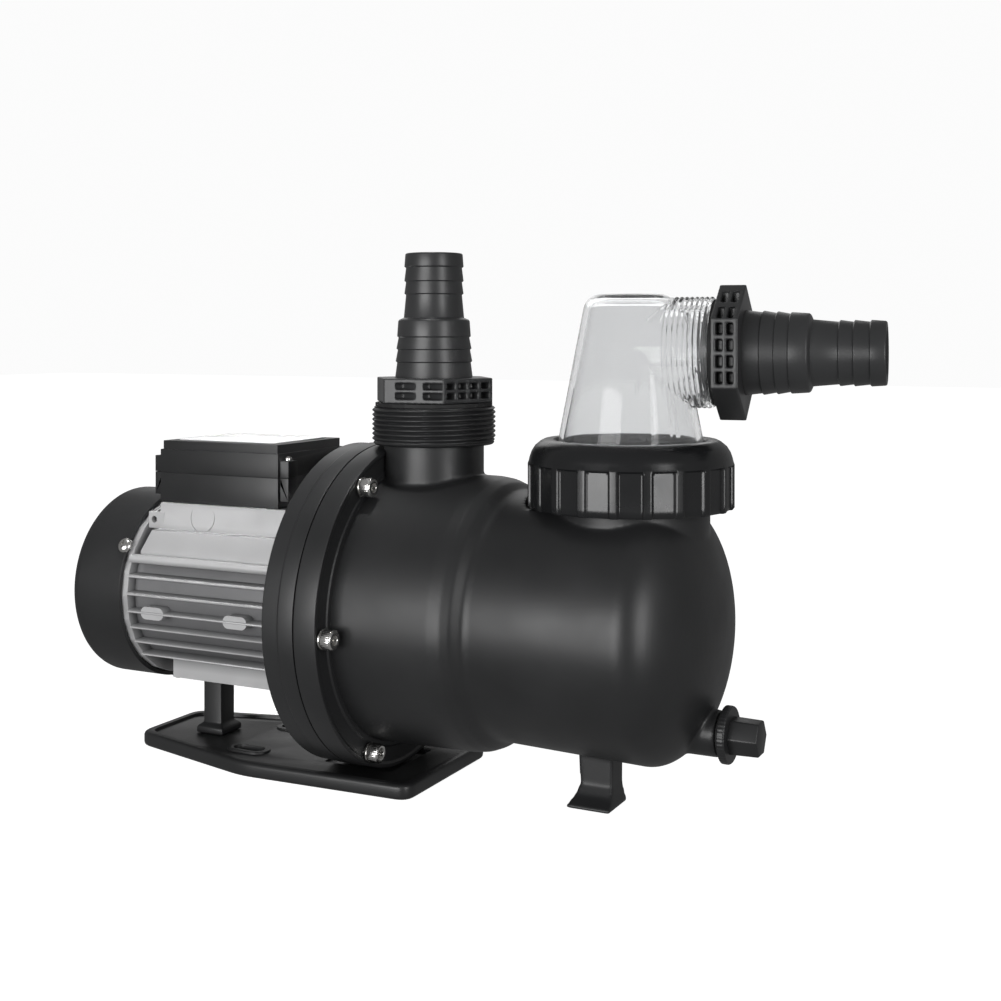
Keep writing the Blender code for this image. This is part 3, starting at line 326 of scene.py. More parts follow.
def lathe(name, profile, place=None, look=None, steps=160, ripple=None):
    """A closed (radius, height) profile turned round Z, plus ripple(radius, height, angle) at each point."""
    form = bmesh.new()
    rings = []
    for radius, height in profile:
        if radius <= 1e-6:
            rings.append([form.verts.new((0, 0, height * MM))])
            continue
        ring = []
        for i in range(steps):
            angle = TAU * i / steps
            r = (radius + (ripple(radius, height, angle) if ripple else 0.0)) * MM
            ring.append(form.verts.new((r * math.cos(angle), r * math.sin(angle), height * MM)))
        rings.append(ring)
    closed = len(rings[0]) > 1 and len(rings[-1]) > 1
    pairs = list(zip(rings, rings[1:])) + ([(rings[-1], rings[0])] if closed else [])
    for upper, lower in pairs:
        for i in range(steps):
            j = (i + 1) % steps
            if len(upper) == 1:
                form.faces.new((upper[0], lower[i], lower[j]))
            elif len(lower) == 1:
                form.faces.new((upper[i], lower[0], upper[j]))
            else:
                form.faces.new((upper[i], lower[i], lower[j], upper[j]))
    obj = new_piece(name, form, look)
    if place:
        obj.data.transform(place)
    return obj


def box(name, corners, look=None):
    """Boxes between pairs of opposite corners, as one object."""
    form = bmesh.new()
    for low, high in corners:
        add_box(form, low, high)
    return new_piece(name, form, look)


def add_box(form, low, high, turn=None):
    """Adds a box between two corners to a bmesh, then turns it if asked to."""
    low, high = Vector(low) * MM, Vector(high) * MM
    where = Matrix.Translation((low + high) / 2) @ Matrix.Diagonal((*(high - low), 1))
    bmesh.ops.create_cube(form, size=1.0, matrix=(turn @ where) if turn else where)


def rod(name, rows, look=None, segments=48):
    """Cylinders, each as (radius, start, end)."""
    form = bmesh.new()
    for radius, start, end in rows:
        start, end = Vector(start) * MM, Vector(end) * MM
        span = end - start
        where = Matrix.Translation((start + end) / 2) @ span.to_track_quat("Z", "Y").to_matrix().to_4x4()
        bmesh.ops.create_cone(form, cap_ends=True, segments=segments, radius1=radius * MM,
                              radius2=radius * MM, depth=span.length, matrix=where)
    return new_piece(name, form, look)


def prism(name, outline, low, high, look=None):
    """An upright prism over an outline of (x, y) points."""
    form = bmesh.new()
    lower = [form.verts.new((x * MM, y * MM, low * MM)) for x, y in outline]
    upper = [form.verts.new((x * MM, y * MM, high * MM)) for x, y in outline]
    count = len(outline)
    for i in range(count):
        form.faces.new((lower[i], lower[(i + 1) % count], upper[(i + 1) % count], upper[i]))
    form.faces.new(upper)
    form.faces.new(lower[::-1])
    return new_piece(name, form, look)


def loft(name, sections, look=None):
    """A solid through rectangles, each as (z, x0, x1, y0, y1)."""
    form = bmesh.new()
    rings = []
    for z, x0, x1, y0, y1 in sections:
        corners = [(x0, y0), (x1, y0), (x1, y1), (x0, y1)]
        rings.append([form.verts.new((x * MM, y * MM, z * MM)) for x, y in corners])
    for upper, lower in zip(rings, rings[1:]):
        for i in range(4):
            form.faces.new((upper[i], upper[i - 1], lower[i - 1], lower[i]))
    form.faces.new(rings[0])
    form.faces.new(rings[-1][::-1])
    return new_piece(name, form, look)


def settle(obj):
    """Turns an object's modifiers into its mesh."""
    bpy.context.view_layer.update()
    evaluated = obj.evaluated_get(bpy.context.evaluated_depsgraph_get())
    mesh = bpy.data.meshes.new_from_object(evaluated)
    obj.modifiers.clear()
    old, obj.data = obj.data, mesh
    bpy.data.meshes.remove(old)
    return obj


def joined(obj, adds=(), cuts=()):
    """Adds and cuts closed helper solids, which are removed afterwards."""
    for other, operation in [(o, "UNION") for o in adds] + [(o, "DIFFERENCE") for o in cuts]:
        change = obj.modifiers.new(operation, "BOOLEAN")
        change.operation = operation
        change.solver = "MANIFOLD"
        change.object = other
    settle(obj)
    for other in (*adds, *cuts):
        bpy.data.objects.remove(other)
    return obj


def cast(obj, voxel, relax=3):
    """Skins a solid with a fine even mesh whose inner and outer corners are softened, as in a casting."""
    skin = obj.modifiers.new("skin", "REMESH")
    skin.mode = "VOXEL"
    skin.voxel_size = voxel * MM
    soft = obj.modifiers.new("soft", "SMOOTH")
    soft.factor = 0.5
    soft.iterations = relax
    look = obj.data.materials[0]
    settle(obj)
    obj.data.materials.clear()
    obj.data.materials.append(look)
    obj.data.shade_smooth()
    return obj


def finish_edges(obj, width=0.0, segments=2, angle=32):
    """Bevels the edges sharper than the angle, if given a width, and shades all but the sharp ones smooth."""
    if width:
        edge = obj.modifiers.new("edge", "BEVEL")
        edge.width = width * MM
        edge.segments = segments
        edge.limit_method = "ANGLE"
        edge.angle_limit = math.radians(angle)
        edge.harden_normals = False
        settle(obj)
    obj.data.shade_smooth()
    obj.data.set_sharp_from_angle(angle=math.radians(angle))
    return obj


def stands_for(obj, slot, body, *nodes):
    """The piece rides a body and replaces the named nodes, which are hidden. The slot is not used."""
    if nodes:
        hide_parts(*nodes)
    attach(obj, body)
    return obj


def ring_points(count, radius, phase=0.0):
    """Points spaced evenly round a circle."""
    angles = [phase + TAU * i / count for i in range(count)]
    return [(radius * math.cos(a), radius * math.sin(a)) for a in angles]


def dome(radius, start, depth, count=24):
    """A quarter of an ellipse, from the tip back to the full radius."""
    made = []
    for i in range(count + 1):
        angle = math.pi / 2 * (1 - i / count)
        made.append((radius * math.cos(angle), start + depth * math.sin(angle)))
    made[0] = (0.0, start + depth)
    return made


def threaded(crest, pitch, depth, low, high):
    """Ripple of a helical thread on one radius, between two heights, fading in and out at its ends."""
    def ripple(radius, height, angle):
        if radius != crest:
            return 0.0
        fade = min(1.0, max(0.0, (height - low) / 1.2)) * min(1.0, max(0.0, (high - height) / 0.8))
        phase = (height / pitch - angle / TAU) % 1.0
        tooth = 1.0 - abs(2 * phase - 1.0)
        return -depth * (1.0 - min(1.0, tooth * 1.3) * fade)
    return ripple


def rows(radius, high, low, step):
    """Close points down one radius, for a ripple to shape."""
    count = max(1, round((high - low) / step))
    return [(radius, high + (low - high) * i / count) for i in range(count + 1)]


ON_AXIS = frame_of((0, 0, AXIS_Z), "x")
SWING = frame_of((INLET_X, 0, 0), "z", ELBOW_SWING) @ frame_of((-INLET_X, 0, 0), "z")


# Wet end


def make_body():
    front = FLANGE_FRONT_X
    profile = dome(BARREL_FRONT_R, BARREL_END_X, DOME_DEPTH)
    profile += [(BARREL_R, CREASE_X + 19.0), (BARREL_R + 0.5, CREASE_X + 16.0)]
    profile += [(BARREL_R + 4.4, CREASE_X + 11.2), (CREASE_R - 0.8, CREASE_X + 6.0), (CREASE_R, CREASE_X)]
    profile += [(CASING_R, front + 2.0), (CASING_R, front - 8.0), (0.0, front - 8.0)]
    shell = lathe("pump_casing", profile, ON_AXIS, "black", 200)
    up = frame_of((DISCHARGE_X, 0, 0), "z")
    inlet = frame_of((INLET_X, 0, 0), "z")
    under_ring = RING_BOTTOM_Z - 1.0
    recess = [(0, 300), (RING_R + 0.9, 300), (RING_R + 0.9, under_ring), (0, under_ring)]
    joined(shell, cuts=[lathe("recess", recess, inlet)])
    neck_top = THREAD_BOTTOM_Z + 1.0
    discharge = lathe("neck", [(0, neck_top), (NECK_R, neck_top), (NECK_R, 120), (0, 120)], up)
    collar = [(0, INLET_SEAT_Z), (46, INLET_SEAT_Z), (46, AXIS_Z + 66), (INLET_NECK_R, AXIS_Z + 62)]
    collar += [(INLET_NECK_R, 125), (0, 125)]
    inlet_neck = lathe("inlet", collar, inlet)
    foot_sections = [
        (AXIS_Z - 55.0, 73.4, 93.6, -7.7, 7.7),
        (11.0, 75.3, 93.2, -7.7, 7.7),
        (6.0, 74.0, 94.2, -11.0, 7.7),
        (2.0, 71.9, 95.6, -17.5, 7.7),
        (0.4, 71.9, 95.6, -17.5, 7.7),
    ]
    foot = loft("foot", foot_sections)
    boss = rod("boss", [(11.6, (118, 0, DRAIN_Z), (DRAIN_SEAT_X, 0, DRAIN_Z))])
    bores = [
        (INLET_BORE_R, (INLET_X, 0, 41), (INLET_X, 0, 400)),
        (THREAD_BORE_R, (DISCHARGE_X, 0, 160), (DISCHARGE_X, 0, 400)),
    ]
    joined(shell, [discharge, inlet_neck, foot, boss], [rod("bores", bores, segments=96)])
    cast(shell, 1.0, 3)
    stands_for(shell, "black_plastic", "pump", "pump_body")

    flange = [(CASING_R - 2, front), (CASING_R + 2.6, front), (CASING_R + 3.2, front - 0.8)]
    flange += [(FLANGE_R - 3.0, front - 0.8), (FLANGE_R - 2.2, front), (FLANGE_R, front)]
    flange += [(FLANGE_R, FLANGE_SPLIT_X + GAP), (CASING_R - 2, FLANGE_SPLIT_X + GAP)]
    rim = lathe("casing_flange", rounded(flange, 0.6, 4), ON_AXIS, "black", 240)
    finish_edges(rim)
    stands_for(rim, "black_plastic", "pump")

    lip = THREAD_BOTTOM_Z
    ripple = threaded(THREAD_R, THREAD_PITCH, 1.25, lip + 1.4, THREAD_TOP_Z)
    profile = [(THREAD_BORE_R, THREAD_TOP_Z), (THREAD_R - 1.0, THREAD_TOP_Z)]
    profile += rows(THREAD_R, THREAD_TOP_Z - 0.3, lip + 1.6, THREAD_ROW)
    profile += [(THREAD_R - 0.6, lip + 0.9), (THREAD_R - 1.4, lip), (NECK_R - 1, lip), (THREAD_BORE_R, lip)]
    thread = lathe("discharge_thread", profile, up, "black", 160, ripple)
    finish_edges(thread, angle=50)
    stands_for(thread, "black_plastic", "pump")


def make_seal_plate():
    back, face = FLANGE_BACK_X, FLANGE_SPLIT_X - GAP
    profile = [(9.0, face), (FLANGE_R, face), (FLANGE_R, face - 9.0), (FLANGE_R - 0.5, face - 9.6),
               (FLANGE_R - 0.5, back + 1.5), (FLANGE_R - 3.0, back), (60.0, back), (60.0, face - 12.0),
               (54.0, face - 9.0), (9.0, face - 9.0)]
    plate = lathe("seal_plate_moulding", rounded(profile, 0.5, 4), ON_AXIS, "black", 240)
    finish_edges(plate)
    stands_for(plate, "black_plastic", "pump", "seal_plate")


def make_flange_bolts():
    seat = FLANGE_FRONT_X + GAP
    under = seat + 1.5
    for i, (y, z) in enumerate(ring_points(6, BOLT_CIRCLE_R, BOLT_PHASE), 1):
        place = frame_of((0, y, AXIS_Z + z), "x")
        profile = rounded([(3.4, seat + 1.2), (5.4, seat + 1.2), (5.4, seat), (3.4, seat)], 0.25, 2)
        washer = lathe(f"washer_{i}", profile, place, "stainless", 64)
        stands_for(finish_edges(washer), "stainless", "pump", f"flange_washer_{i}")
        tip = FLANGE_SPLIT_X - 13.5
        head = [(0.0, under + 2.6), (2.1, under + 2.8), (2.5, under + 6.0), (4.4, under + 6.0)]
        head += [(5.1, under + 5.2), (5.1, under), (3.0, under), (3.0, tip), (0.0, tip)]

        def knurl(radius, height, angle):
            return 0.07 * math.cos(30 * angle) if radius > 4.9 else 0.0

        bolt = lathe(f"bolt_{i}", rounded(head, 0.35, 2), place, "stainless", 120, knurl)
        stands_for(finish_edges(bolt), "stainless", "pump", f"flange_bolt_{i}")


def make_ring():
    """Locking ring whose band has flat panels sunk between twenty ribs."""
    grip_top, grip_low = RING_TOP_Z - 12.0, RING_BOTTOM_Z
    lip_z = RING_TOP_Z - 4.2
    profile = [(39.2, RING_TOP_Z - 1.0), (40.0, RING_TOP_Z), (44.8, RING_TOP_Z), (46.6, RING_TOP_Z - 0.9)]
    profile += [(49.4, RING_TOP_Z - 3.2), (51.2, RING_TOP_Z - 6.0), (52.2, RING_TOP_Z - 8.8)]
    profile += [(RING_R - 0.6, grip_top + 1.0)]
    profile += rows(RING_R, grip_top, grip_top - 1.0, 0.4) + rows(RING_R, grip_top - 2.0, grip_low + 1.2, 3.0)
    profile += [(RING_R - 0.9, grip_low), (46.6, grip_low), (46.6, lip_z - 1.0), (45.6, lip_z), (39.2, lip_z)]

    def panels(radius, height, angle):
        if radius < RING_R - 1.0 or height > grip_top + 0.1:
            return 0.0
        away = ((angle - GRIP_PHASE) * RING_GRIPS / TAU + 0.5) % 1.0 - 0.5
        away *= TAU / RING_GRIPS
        inside = min(1.0, max(0.0, (PANEL_HALF_WIDTH - RING_R * abs(math.sin(away))) / 0.7))
        below = min(1.0, max(0.0, (grip_top + 0.1 - height) / 0.8))
        return (PANEL_DEPTH_R / math.cos(away) - RING_R) * inside * below

    ring = lathe("locking_ring_moulding", profile, frame_of((INLET_X, 0, 0), "z"), "gloss_black", 720, panels)
    finish_edges(ring, angle=38)
    stands_for(ring, "black_plastic", "locking_ring", "locking_ring")


def make_elbow():
    seat = INLET_SEAT_Z + 2.6
    shoulder, top_r, wall = 9.0, 24.5, 3.0
    outer = [(0.0, ELBOW_TOP_Z)]
    outer += corner_arc(top_r - shoulder, ELBOW_TOP_Z - shoulder, shoulder)
    outer += [(ELBOW_BASE_R, RING_TOP_Z - 3.0), (ELBOW_BASE_R, seat + 5.0)]
    outer += [(44.6, seat + 5.0), (44.6, seat), (0.0, seat)]
    inlet = frame_of((INLET_X, 0, 0), "z")
    elbow = lathe("inlet_elbow_clear", outer, inlet, "clear", 144)
    branch = frame_of((0, 0, BRANCH_Z), "x")
    start, end = INLET_X + 21.0, BRANCH_END_X
    ripple = threaded(BRANCH_R, THREAD_PITCH, 1.1, start, end)
    profile = [(0.0, end)] + rows(BRANCH_R, end, start, THREAD_ROW)
    profile += [(BRANCH_R - 1.1, INLET_X + 8.0), (0.0, INLET_X + 8.0)]
    arm = lathe("arm", profile, branch, None, 120, ripple)
    top_z = ELBOW_TOP_Z - wall
    inner = [(0.0, top_z)] + corner_arc(top_r - shoulder, top_z - shoulder + wall, shoulder - wall)
    inner += [(ELBOW_BASE_R - wall, RING_TOP_Z - 3.0), (ELBOW_BASE_R - wall, seat - 5.0), (0.0, seat - 5.0)]
    hollow = lathe("hollow", inner, inlet, None, 120)
    bore = [(0.0, end + 5.0), (THREAD_BORE_R, end + 5.0), (THREAD_BORE_R, INLET_X), (0.0, INLET_X)]
    joined(elbow, [arm], [hollow, lathe("bore", bore, branch, None, 120)])
    elbow.data.transform(SWING)
    finish_edges(elbow, angle=40)
    stands_for(elbow, "clear_plastic", "inlet_elbow", "inlet_elbow")


def corner_arc(radius, height, size, count=10):
    """The elbow's rounded shoulder, which ends a little short of upright to meet its cone."""
    made = []
    for i in range(count + 1):
        angle = math.radians(90 - 82 * i / count)
        made.append((radius + size * math.cos(angle), height + size * math.sin(angle)))
    return made


# Hose adapters


def adapter_mesh():
    """Tail with barbs above a six-sided collar with two rows of cored pockets, and a spigot below."""
    end = ADAPTER_LENGTH
    tail = [(ADAPTER_BORE_R, end - 0.6), (ADAPTER_BORE_R + 0.6, end)]
    tail += [(TAIL_TIP_R - 0.5, end), (TAIL_TIP_R, end - 0.6)]
    for drop in (7.7, 15.6, 22.6):
        tail += [(TAIL_TIP_R + 0.5, end - drop + 0.3), (TAIL_TIP_R - 0.4, end - drop - 0.3)]
    tail += [(TAIL_TIP_R + 0.8, end - 35.6), (STEP_TOP_R - 0.7, end - 36.6), (STEP_TOP_R, end - 37.4)]
    for drop, radius in ((46.2, 20.4), (53.0, 20.8), (60.0, 21.2)):
        tail += [(radius, end - drop + 0.3), (radius - 0.8, end - drop - 0.3)]
    tail += [(STEP_TOP_R + 1.6, HEX_HEIGHT + 0.6), (STEP_TOP_R + 1.6, 3.0), (ADAPTER_SPIGOT_R, 3.0)]
    tail += [(ADAPTER_SPIGOT_R, -SPIGOT_LENGTH), (ADAPTER_BORE_R + 4.6, -SPIGOT_LENGTH)]
    tail += [(ADAPTER_BORE_R + 4.6, 30.0), (ADAPTER_BORE_R, end - 40.0)]
    tube = lathe("tail", rounded(tail, 0.25, 2), None, "hose_black", 120)
    finish_edges(tube, angle=28)

    hexagon = ring_points(6, HEX_R)
    collar = prism("collar", hexagon, 0.0, HEX_HEIGHT, "hose_black")
    core = rod("core", [(STEP_TOP_R + 1.0, (0, 0, -20), (0, 0, 40))], segments=96)
    form = bmesh.new()
    for row in range(2):
        z0 = 2.4 + 5.2 * row
        for i in range(6):
            x0 = -4.0 * POCKET_PITCH + POCKET_PITCH * i + 1.1
            x1 = x0 + POCKET_PITCH - 2.2
            near = min(abs(x0), abs(x1))
            depth = math.sqrt(max(24.6**2 - near**2, 25.0))
            add_box(form, (x0, -60, z0), (x1, -depth, z0 + 3.4))
            add_box(form, (-x1, depth, z0), (-x0, 60, z0 + 3.4))
    joined(collar, cuts=[core, new_piece("pockets", form)])
    cast(collar, 0.5, 2)
    return tube, collar


def make_adapters():
    tube, collar = adapter_mesh()
    places = [
        ("inlet_adapter", SWING @ frame_of((BRANCH_END_X + COLLAR_LIFT, 0, BRANCH_Z), "x")),
        ("discharge_adapter", frame_of((DISCHARGE_X, 0, THREAD_TOP_Z + COLLAR_LIFT), "z", DISCHARGE_SPIN)),
    ]
    for name, place in places:
        for part, source in (("tail", tube), ("collar", collar)):
            piece = bpy.data.objects.new(f"{name}_{part}", source.data.copy())
            bpy.context.scene.collection.objects.link(piece)
            piece.data.transform(place)
            replaced = (name,) if part == "tail" else ()
            stands_for(piece, "black_plastic", name, *replaced)
    for source in (tube, collar):
        bpy.data.objects.remove(source)


def make_drain_plug():
    seat = DRAIN_SEAT_X + 2.0
    place = frame_of((0, 0, DRAIN_Z), "x")
    profile = [(0.0, seat + 4.0), (13.9, seat + 4.0), (14.4, seat + 3.3), (14.4, seat), (6.6, seat)]
    profile += [(6.6, seat - 13.0), (0.0, seat - 13.0)]

    def knurl(radius, height, angle):
        return 0.12 * math.cos(44 * angle) - 0.1 if radius > 14.0 else 0.0

    plug = lathe("drain_plug_collar", rounded(profile, 0.6, 3), place, "black", 160, knurl)
    finish_edges(plug)
    stands_for(plug, "black_plastic", "drain_plug", "drain_plug")
    form = bmesh.new()
    where = frame_of((seat + 11.0, 0, DRAIN_Z), "x")
    bmesh.ops.create_cone(form, cap_ends=True, segments=6, radius1=9.9 * MM, radius2=9.5 * MM,
                          depth=16.0 * MM, matrix=where)
    head = finish_edges(new_piece("drain_plug_head", form, "black"), 0.8, 3)
    stands_for(head, "black_plastic", "drain_plug")


# Motor


def fin_pair(name, height, back, front):
    """One cooling fin on each side of the housing, thinner at its tip."""
    tip = math.sqrt(FIN_TIP_R**2 - height**2)
    root = math.sqrt(HOUSING_R**2 - height**2) - 1.6
    outline = [(root, 1.3), (tip - 0.8, 0.8), (tip, 0.3), (tip, -0.3), (tip - 0.8, -0.8), (root, -1.3)]
    form = bmesh.new()
    for side in (-1, 1):
        ends = []
        for x in (back, front):
            places = [(x * MM, side * y * MM, (AXIS_Z + height + z) * MM) for y, z in outline]
            ends.append([form.verts.new(place) for place in places])
        for i in range(6):
            form.faces.new((ends[0][i - 1], ends[0][i], ends[1][i], ends[1][i - 1]))
        form.faces.new(ends[0])
        form.faces.new(ends[1][::-1])
    return new_piece(name, form)


def long_pad(name, x, side):
    """A pad with round ends that stands on the fins."""
    ends = [(3.6, (x + step, side * 40, AXIS_Z - 8.5), (x + step, side * 53.6, AXIS_Z - 8.5))
            for step in (-4.5, 4.5)]
    y0, y1 = sorted((side * 40, side * 53.6))
    middle = [((x - 4.5, y0, AXIS_Z - 12.1), (x + 4.5, y1, AXIS_Z - 4.9))]
    return [rod(f"{name}_ends", ends, segments=28), box(f"{name}_middle", middle)]


def make_housing():
    back, front = HOUSING_BACK_X, HOUSING_FRONT_X
    barrel = [(STATOR_R, front), (HOUSING_R, front), (HOUSING_R, back), (STATOR_R, back)]
    housing = lathe("motor_housing_casting", barrel, ON_AXIS, "aluminium", 144)
    adds = []
    for n, height in enumerate((11.5, 1.5, -8.5, -18.0, -27.0, -35.5)):
        adds.append(fin_pair(f"fin_{n}", height, back + 0.4, front - 1.0))
    rails, webs, lugs, lug_holes = [], [], [], []
    for side in (-1, 1):
        rail_z = AXIS_Z + 21.5
        rails.append((2.6, (back + 0.4, side * 50.0, rail_z), (front - 1.0, side * 50.0, rail_z)))
        y0, y1 = sorted((side * 38.0, side * 50.0))
        webs.append(((back + 4.0, y0, AXIS_Z + 20.2), (front - 2.0, y1, AXIS_Z + 23.0)))
        y0, y1 = sorted((side * 33.0, side * 36.2))
        lugs.append(((back + 1.0, y0, AXIS_Z + 37.5), (back + 12.0, y1, AXIS_Z + 47.0)))
        hole_z = AXIS_Z + 42.5
        lug_holes.append((2.0, (back + 5.0, side * 28, hole_z), (back + 5.0, side * 60, hole_z)))
    adds.append(rod("rails", rails, segments=24))
    adds.append(box("webs", webs))
    bed_rows = ((52.5, 35.0, 9.0), (37.5, 36.4, 9.0), (36.6, 39.4, 6.0), (25.5, 46.6, 4.0), (22.0, 47.0, 4.0))
    bed = [(AXIS_Z + height, back + inset, front - 2.0, -half, half) for height, half, inset in bed_rows]
    adds.append(loft("bed", bed))
    adds.append(box("foot_pad", [((back + 14.0, -30.0, AXIS_Z - 50.0), (front - 1.5, 30.0, AXIS_Z - 34.0))]))
    for x in (-170.0, -112.0):
        for side in (-1, 1):
            adds += long_pad(f"pad_{x:.0f}_{side}", x, side)
    adds.append(box("lugs", lugs))
    marks = []
    for side in (-1, 1):
        mark = [(8.6, 37.0), (8.6, 35.2), (8.2, 35.2), (8.2, 37.0)]
        at = Vector((-148, 0, AXIS_Z + 45.2)) * MM
        place = Matrix.Translation(at) @ Matrix.Rotation(math.radians(90 * side), 4, "X")
        marks.append(lathe(f"mark_{side}", mark, place, None, 48))
    holes = rod("lug_holes", lug_holes, segments=24)
    bore = rod("housing_bore", [(STATOR_R, (back - 5, 0, AXIS_Z), (front + 5, 0, AXIS_Z))], segments=144)
    wires = rod("wire_hole", [(9.0, (-142, 0, AXIS_Z + 35), (-142, 0, AXIS_Z + 60))])
    joined(housing, adds, [bore, wires, holes, *marks])
    finish_edges(housing, 0.28, 2)
    stands_for(housing, "cast_aluminium", "pump", "motor_housing")


def make_fan_cover():
    back, front, wall = COVER_BACK_X, COVER_FRONT_X, 2.2
    outer = [(0.0, back + wall), (COVER_R - 8.0, back + wall), (COVER_R - wall, back + 8.0)]
    outer += [(COVER_R - wall, front), (COVER_R - 0.4, front), (COVER_R, front - 0.4), (COVER_R, back + 7.5)]
    for i in range(1, 11):
        angle = math.radians(9 * i)
        outer.append((COVER_R - 7.0 + 7.0 * math.cos(angle), back + 7.0 - 7.0 * math.sin(angle)))
    outer.append((0.0, back))
    cover = lathe("fan_cover_moulding", outer, ON_AXIS, "black", 180)
    form = bmesh.new()
    middle = Matrix.Translation((0, 0, AXIS_Z * MM))
    for i in range(12):
        turn = middle @ Matrix.Rotation(TAU * i / 12, 4, "X")
        for y0, y1 in ((13.0, 27.0), (31.0, 45.0)):
            add_box(form, (back - 5, y0, -2.2), (back + 5, y1, 2.2), turn)
    vents = new_piece("vents", form)
    joined(cover, cuts=[vents])
    finish_edges(cover, angle=30)
    stands_for(cover, "black_plastic", "pump", "fan_cover")
    for i, (y, z) in enumerate(ring_points(3, 1.0, math.radians(-90.0)), 1):
        make_cover_screw(i, y, z)


def make_cover_screw(number, y, z):
    """A cross-head screw in the rim of the fan cover, driven in from the side that (y, z) points to."""
    profile = [(0.0, 3.0), (1.6, 2.95), (2.8, 2.6), (4.0, 1.7), (4.6, 0.7), (4.6, 0.2), (2.0, 0.2)]
    profile += [(2.0, -10.0), (0, -10.0)]
    screw = lathe(f"cover_screw_head_{number}", profile, None, "stainless", 48)
    slot = box("slot", [((-2.4, -0.45, 1.6), (2.4, 0.45, 5.0))])
    cross = box("cross", [((-0.45, -2.4, 1.6), (0.45, 2.4, 5.0))])
    joined(screw, cuts=[slot, cross])
    out = Vector((0, y, z))
    at = Vector((COVER_SCREW_X, COVER_R * y, AXIS_Z + COVER_R * z)) * MM
    screw.data.transform(Matrix.Translation(at) @ out.to_track_quat("Z", "X").to_matrix().to_4x4())
    finish_edges(screw)
    stands_for(screw, "stainless", "pump", f"cover_screw_{number}")


# Terminal box


def ear_places():
    """Where the terminal box's four screws stand."""
    y = BOX_HALF_Y - 6.5
    return [(BOX_X[0] - 2.4, -y), (BOX_X[1] + 2.4, -y), (BOX_X[1] + 2.4, y), (BOX_X[0] - 2.4, y)]


def ears(name, low, high):
    """The four screw ears of the box, between two heights."""
    made = []
    for inner, outer in ((BOX_X[0] + 2, BOX_X[0] - 5.6), (BOX_X[1] - 2, BOX_X[1] + 5.6)):
        x0, x1 = sorted((inner, outer))
        for side in (-1, 1):
            y0, y1 = sorted((side * (BOX_HALF_Y - 11.0), side * (BOX_HALF_Y - 2.0)))
            made.append(((x0, y0, low), (x1, y1, high)))
    return box(name, made)


def make_terminal_box():
    x0, x1 = BOX_X
    half, wall = BOX_HALF_Y, 2.4
    seam = BOX_SEAM_Z - 0.1
    base = box("terminal_box_tray", [((x0, -half, BOX_BASE_Z), (x1, half, seam))], "box")
    low, high = (x0 + wall, -half + wall, BOX_BASE_Z + wall), (x1 - wall, half - wall, BOX_SEAM_Z + 5)
    hollow = box("hollow", [(low, high)])
    joined(base, [ears("tray_ears", BOX_BASE_Z + 4.0, seam)], [hollow])
    finish_edges(base, 0.9, 3)
    stands_for(base, "box_plastic", "pump", "terminal_box_base")
    bottom = BOX_SEAM_Z + 0.1
    lid = box("terminal_box_cap", [((x0, -half, bottom), (x1, half, BOX_TOP_Z - 5.0))], "box")
    crown = box("crown", [((x0 + 1.2, -half + 1.2, bottom + 3), (x1 - 1.2, half - 1.2, BOX_TOP_Z))])
    low, high = (x0 + wall, -half + wall, bottom - 5), (x1 - wall, half - wall, BOX_TOP_Z - wall)
    hollow = box("hollow", [(low, high)])
    holes = rod("holes", [(1.8, (x, y, bottom - 5), (x, y, bottom + 20)) for x, y in ear_places()])
    joined(lid, [crown, ears("cap_ears", bottom, BOX_SEAM_Z + 9.5)], [hollow, holes])
    finish_edges(lid, 0.8, 3)
    stands_for(lid, "box_plastic", "pump", "terminal_box_lid")
    for i, (x, y) in enumerate(ear_places(), 1):
        top = BOX_SEAM_Z + 9.8
        profile = [(0.0, top + 1.2), (0.8, top + 1.3), (1.0, top + 2.0), (1.7, top + 1.8), (2.1, top + 1.0)]
        profile += [(2.1, top), (1.4, top), (1.4, BOX_BASE_Z + 8), (0.0, BOX_BASE_Z + 8)]
        screw = lathe(f"lid_screw_head_{i}", profile, frame_of((x, y, 0), "z"), "stainless", 48)
        stands_for(finish_edges(screw), "stainless", "pump", f"lid_screw_{i}")
    in_x0, in_x1, in_y = x0 + 7, x1 - 7, half - 7
    plate = rounded_outline([(in_x0, -in_y), (in_x1, -in_y), (in_x1, in_y), (in_x0, in_y)], 3.0)
    label = prism("blank_label_plate", plate, BOX_TOP_Z + 0.1, BOX_TOP_Z + 0.8, "label")
    stands_for(finish_edges(label, 0.2, 2), "label", "pump", "label_plate")


# Base


def rounded_outline(corners, radius, steps=6):
    """A closed outline with each corner rounded."""
    count = len(corners)
    made = []
    for i, corner in enumerate(corners):
        here = Vector(corner)
        back = (Vector(corners[i - 1]) - here).normalized()
        on = (Vector(corners[(i + 1) % count]) - here).normalized()
        start, end = here + back * radius, here + on * radius
        for k in range(steps + 1):
            t = k / steps
            made.append(tuple(start * (1 - t) ** 2 + here * 2 * t * (1 - t) + end * t * t))
    return made


def slot_outline(x, y, reach, radius, steps=12):
    """A long hole with round ends, along X."""
    made = []
    for side, middle in ((1, x + reach), (-1, x - reach)):
        for i in range(steps + 1):
            angle = -math.pi / 2 + math.pi * i / steps
            made.append((middle + side * radius * math.cos(angle), y + side * radius * math.sin(angle)))
    return made


def mirrored(half):
    """An outline given for one side of the pump, closed with its mirror image."""
    return [(x, -y) for x, y in half] + [(x, y) for x, y in reversed(half)]


